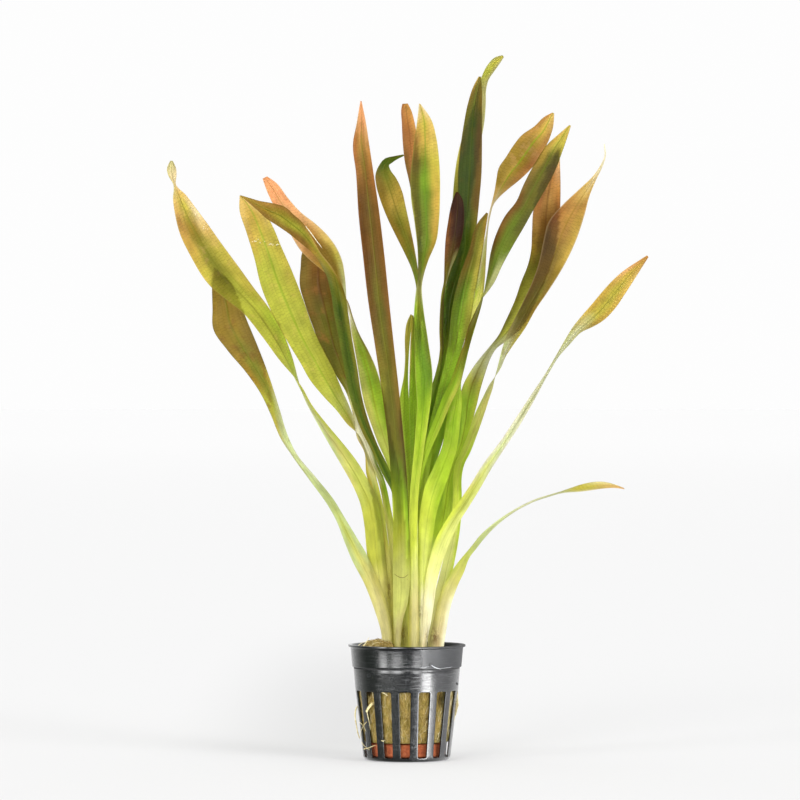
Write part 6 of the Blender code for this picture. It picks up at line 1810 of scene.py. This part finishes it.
stem = stem_material()
for n, (name, (cx, cy, rx, ry)) in enumerate(CROWNS.items()):
    profile = [(0.30, CROWN_LOW), (0.45, CROWN_LOW + 0.4), (0.62, CROWN_LOW + 1.2), (0.76, CROWN_LOW + 2.4),
               (0.87, CROWN_LOW + 4.0), (0.93, CROWN_LOW + 6.0), (0.97, CROWN_LOW + 8.5),
               (0.97, CROWN_TOP - 0.9), (0.92, CROWN_TOP - 0.35), (0.80, CROWN_TOP - 0.05)]
    verts = []
    for f, z in profile:
        for i in range(64):
            a = 2 * math.pi * i / 64
            wave = 1 + 0.03 * math.sin(5 * a + n) + 0.02 * math.sin(11 * a + 2 * n)
            verts.append((cx + rx * f * wave * math.cos(a), cy + ry * f * wave * math.sin(a), z))
    faces = outward(verts, lathe_faces(len(profile), 64))
    body = add_mesh(name + "_stem", verts, faces, stem)
    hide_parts(name)


# ---------------------------------------------------------------- roots
def root_material():
    net = Net("root")
    at = object_mm(net)
    tone = net.noise(at, 0.8, 4.0, 0.65)
    colour = net.ramp(tone, [(0.3, linear("b89c60")), (0.5, linear("dccf98")), (0.7, linear("ece4c0"))])
    colour = net.mix(net.range(net.noise(at, 3.5, 3.0), 0.55, 0.75, 0.0, 0.5), colour, linear("8c7040"))
    return net.finish(net.principled(colour, 0.5, net.bump(tone, 0.5, 0.0002), specular=0.45))


root_look = root_material()


def root_piece(name, points, radius, node=None, sides=12, taper=0.45):
    path = spline_path(points, 7)
    n = len(path)
    radii = [radius * (1.0 - taper * k / (n - 1)) * (1 + 0.10 * math.sin(k * 1.3) + 0.06 * math.sin(k * 2.9)) for k in range(n)]
    radii[0] *= 0.7
    radii[-1] *= 0.5
    verts, faces = strand(path, radii, sides)
    obj = add_mesh(name, verts, outward(verts, faces), root_look)
    if node:
        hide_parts(node)
    return obj


root_piece("root_long_skin", [(-19.4, 0.9, 23.0), (-20.7, 0.4, 22.6), (-21.6, -0.4, 21.6), (-22.0, -0.9, 18.6),
                              (-21.5, -0.7, 14.6), (-20.9, -0.2, 11.4), (-20.1, 0.3, 8.8)], 0.36, "root_long")
root_piece("root_stub_skin", [(-13.9, -14.2, 24.7), (-14.9, -15.2, 24.3), (-15.7, -15.9, 23.5), (-16.5, -16.2, 22.4),
                              (-17.1, -15.9, 21.1)], 0.62, "root_stub", taper=0.25)
fine = Joined()
FINE_ROOTS = [
    (0.17, [place(366.8, 711, -15.6), place(368.0, 717, -16.5), place(369.4, 723, -16.4), place(370.5, 730, -15.6)]),
    (0.15, [place(359.6, 722, -5.0), place(362.5, 725, -8.0), place(366.0, 731, -12.0)]),
    (0.15, [place(366.5, 722, -13.5), place(363.5, 726, -11.0), place(361.0, 731, -7.0), place(360.2, 737, -4.0)]),
    (0.20, [place(364.0, 749, -8.5), place(368.5, 748.0, -12.5), place(372.0, 746.5, -13.4), place(376.0, 745.0, -13.5)]),
    (0.14, [place(361.5, 742, -3.0), place(364.5, 746, -8.8), place(369.5, 750, -12.6)]),
    (0.16, [place(363.5, 646.0, -17.5), place(366.3, 642.0, -16.5), place(369.0, 637.5, -15.5)]),
    (0.10, [place(358.5, 645.5, -15.0), place(363.0, 642.5, -14.5), place(371.0, 641.0, -14.0)]),
    (0.10, [place(371.0, 646.0, -17.5), place(376.5, 642.5, -16.0), place(383.0, 642.8, -15.0)]),
    (0.24, [place(381.8, 692.5, -18.6), place(384.5, 693.5, -19.6), place(387.7, 696, -19.4)]),
    (0.20, [place(381.4, 740.5, -16.6), place(383.2, 741.2, -17.4), place(385.0, 740.0, -17.0)]),
]
for radius, points in FINE_ROOTS:
    path = spline_path(points, 5)
    fine.strand(path, [radius * (1 - 0.5 * k / (len(path) - 1)) for k in range(len(path))], 8)
fine.add("fine_roots", root_look, "root")

# ---------------------------------------------------------------- floor, studio, camera
floor_net = Net("floor")
floor_out = floor_net.add("ShaderNodeAddShader")
floor_net.tree.links.new(floor_net.add("ShaderNodeBsdfDiffuse", {"Color": (0.42, 0.42, 0.42, 1)}).outputs[0], floor_out.inputs[0])
floor_x, floor_y, _ = floor_net.separate(object_mm(floor_net))
shade = floor_net.math("MULTIPLY", floor_net.range(floor_x, -120.0, -24.0), floor_net.range(floor_x, 20.0, -10.0))
shade = floor_net.math("MULTIPLY", shade, floor_net.math("MULTIPLY", floor_net.range(floor_y, -40.0, 120.0), floor_net.range(floor_y, 1400.0, 300.0)))
shade = floor_net.mix(shade, (1, 1, 1, 1), (0.66, 0.66, 0.66, 1))
shade = floor_net.mix(floor_net.range(floor_y, 1200.0, 16000.0), shade, (1.095, 1.095, 1.095, 1))
floor_net.tree.links.new(floor_net.add("ShaderNodeEmission", {"Color": shade, "Strength": 0.39}).outputs[0], floor_out.inputs[1])
floor_mat = floor_net.finish(floor_out.outputs[0])
floor_bm = bmesh.new()
floor_rings = []
for r in (0.0, 0.05, 0.2, 1.0, 6.0, 80.0):
    if r == 0.0:
        floor_rings.append([floor_bm.verts.new((0, 0, -0.0002))])
    else:
        floor_rings.append([floor_bm.verts.new((r * math.cos(2 * math.pi * i / 64), r * math.sin(2 * math.pi * i / 64), -0.0002)) for i in range(64)])
for i in range(64):
    floor_bm.faces.new((floor_rings[0][0], floor_rings[1][i], floor_rings[1][(i + 1) % 64]))
for lo, hi in zip(floor_rings[1:], floor_rings[2:]):
    for i in range(64):
        floor_bm.faces.new((lo[i], hi[i], hi[(i + 1) % 64], lo[(i + 1) % 64]))
floor_mesh = bpy.data.meshes.new("floor")
floor_bm.to_mesh(floor_mesh)
floor_bm.free()
floor_mesh.materials.append(floor_mat)
floor = bpy.data.objects.new("floor", floor_mesh)
bpy.context.scene.collection.objects.link(floor)
# The pot's smooth wall leans, and mirrors the lamps' lower ends rather than the floor
floor.visible_glossy = False

# The studio: a pale room with four tall lamps in front. For each lamp: azimuth to the right
# of the front, half its width, lower and upper edge, all in degrees, the light that it
# gives, how bright it is in reflections, and from where to where it is seen in them.
LAMPS = (
    (-50.0, 8.0, 0.0, 34.0, 6.5, 11.5, -13.0, 34.0),
    (-21.0, 10.0, 0.0, 34.0, 8.0, 10.5, -13.0, 34.0),
    (21.0, 6.5, 0.0, 34.0, 0.0, 9.8, -13.0, 34.0),
    (45.0, 12.0, 0.0, 34.0, 8.5, 10.0, 0.0, 34.0),
    (45.0, 10.5, 0.0, 34.0, 0.0, 15.0, -45.0, -14.0),
    (57.0, 9.0, 0.0, 34.0, 0.0, 11.0, -45.0, -21.0),
)
world = bpy.data.worlds.new("studio")
bpy.context.scene.world = world
sky = Net("studio", world)
sky_x, sky_y, sky_z = sky.separate(sky.add("ShaderNodeTexCoord").outputs["Generated"])
azimuth = sky.math("ARCTAN2", sky_x, sky.math("MULTIPLY", sky_y, -1.0))
height = sky.math("ARCSINE", sky_z)
lit = sky.range(sky_y, -0.35, 0.35, 0.75, 1.05)
mirrored = sky.math("MULTIPLY", sky.range(sky_x, 0.25, 0.8, 0.30, 2.1), sky.range(height, math.radians(-10.0), math.radians(-16.0), 0.55, 1.0))
mirrored = sky.math("MULTIPLY", mirrored, sky.range(sky_y, 0.5, -0.3, 0.5, 1.0))
mirrored = sky.math("ADD", mirrored, sky.range(sky_y, 0.0, 0.9, 0.0, 1.1))
for turn, half, low, high, light, gloss, foot, head in LAMPS:
    off = sky.math("ABSOLUTE", sky.math("SUBTRACT", azimuth, math.radians(turn)))
    wide = sky.range(off, math.radians(half + 2.5), math.radians(half - 2.5))
    below = sky.range(height, math.radians(high + 6), math.radians(high - 6))
    beam = sky.math("MULTIPLY", wide, below)
    if light:
        lit = sky.math("ADD", lit, sky.math("MULTIPLY", sky.math("MULTIPLY", beam, sky.range(height, math.radians(low - 2), math.radians(low + 2))), light))
    seen = sky.math("MULTIPLY", sky.range(height, math.radians(foot - 1.5), math.radians(foot + 1.5)), sky.range(height, math.radians(head + 2), math.radians(head - 2)))
    mirrored = sky.math("ADD", mirrored, sky.math("MULTIPLY", sky.math("MULTIPLY", wide, seen), gloss))
ray = sky.add("ShaderNodeLightPath").outputs
power = sky.add("ShaderNodeMix", {0: ray["Is Glossy Ray"], 2: lit, 3: mirrored}, data_type="FLOAT").outputs[0]
power = sky.add("ShaderNodeMix", {0: ray["Is Camera Ray"], 2: power, 3: 0.985}, data_type="FLOAT").outputs[0]
sky.finish(sky.add("ShaderNodeBackground", {"Color": (1, 1, 1, 1), "Strength": power}).outputs[0])

camera = bpy.data.objects.new("camera", bpy.data.cameras.new("camera"))
camera.data.sensor_fit = "HORIZONTAL"
camera.data.sensor_width = 36.0
camera.data.lens = FOCUS / 800.0 * 36.0
camera.data.clip_start = 0.05
camera.data.clip_end = 200.0
camera.location = (EYE_X * MM, -EYE_Y * MM, EYE_Z * MM)
camera.rotation_euler = (math.radians(90.0), 0.0, 0.0)
bpy.context.scene.collection.objects.link(camera)
bpy.context.scene.camera = camera
bpy.context.scene.view_settings.view_transform = "Standard"
bpy.context.scene.view_settings.look = "None"
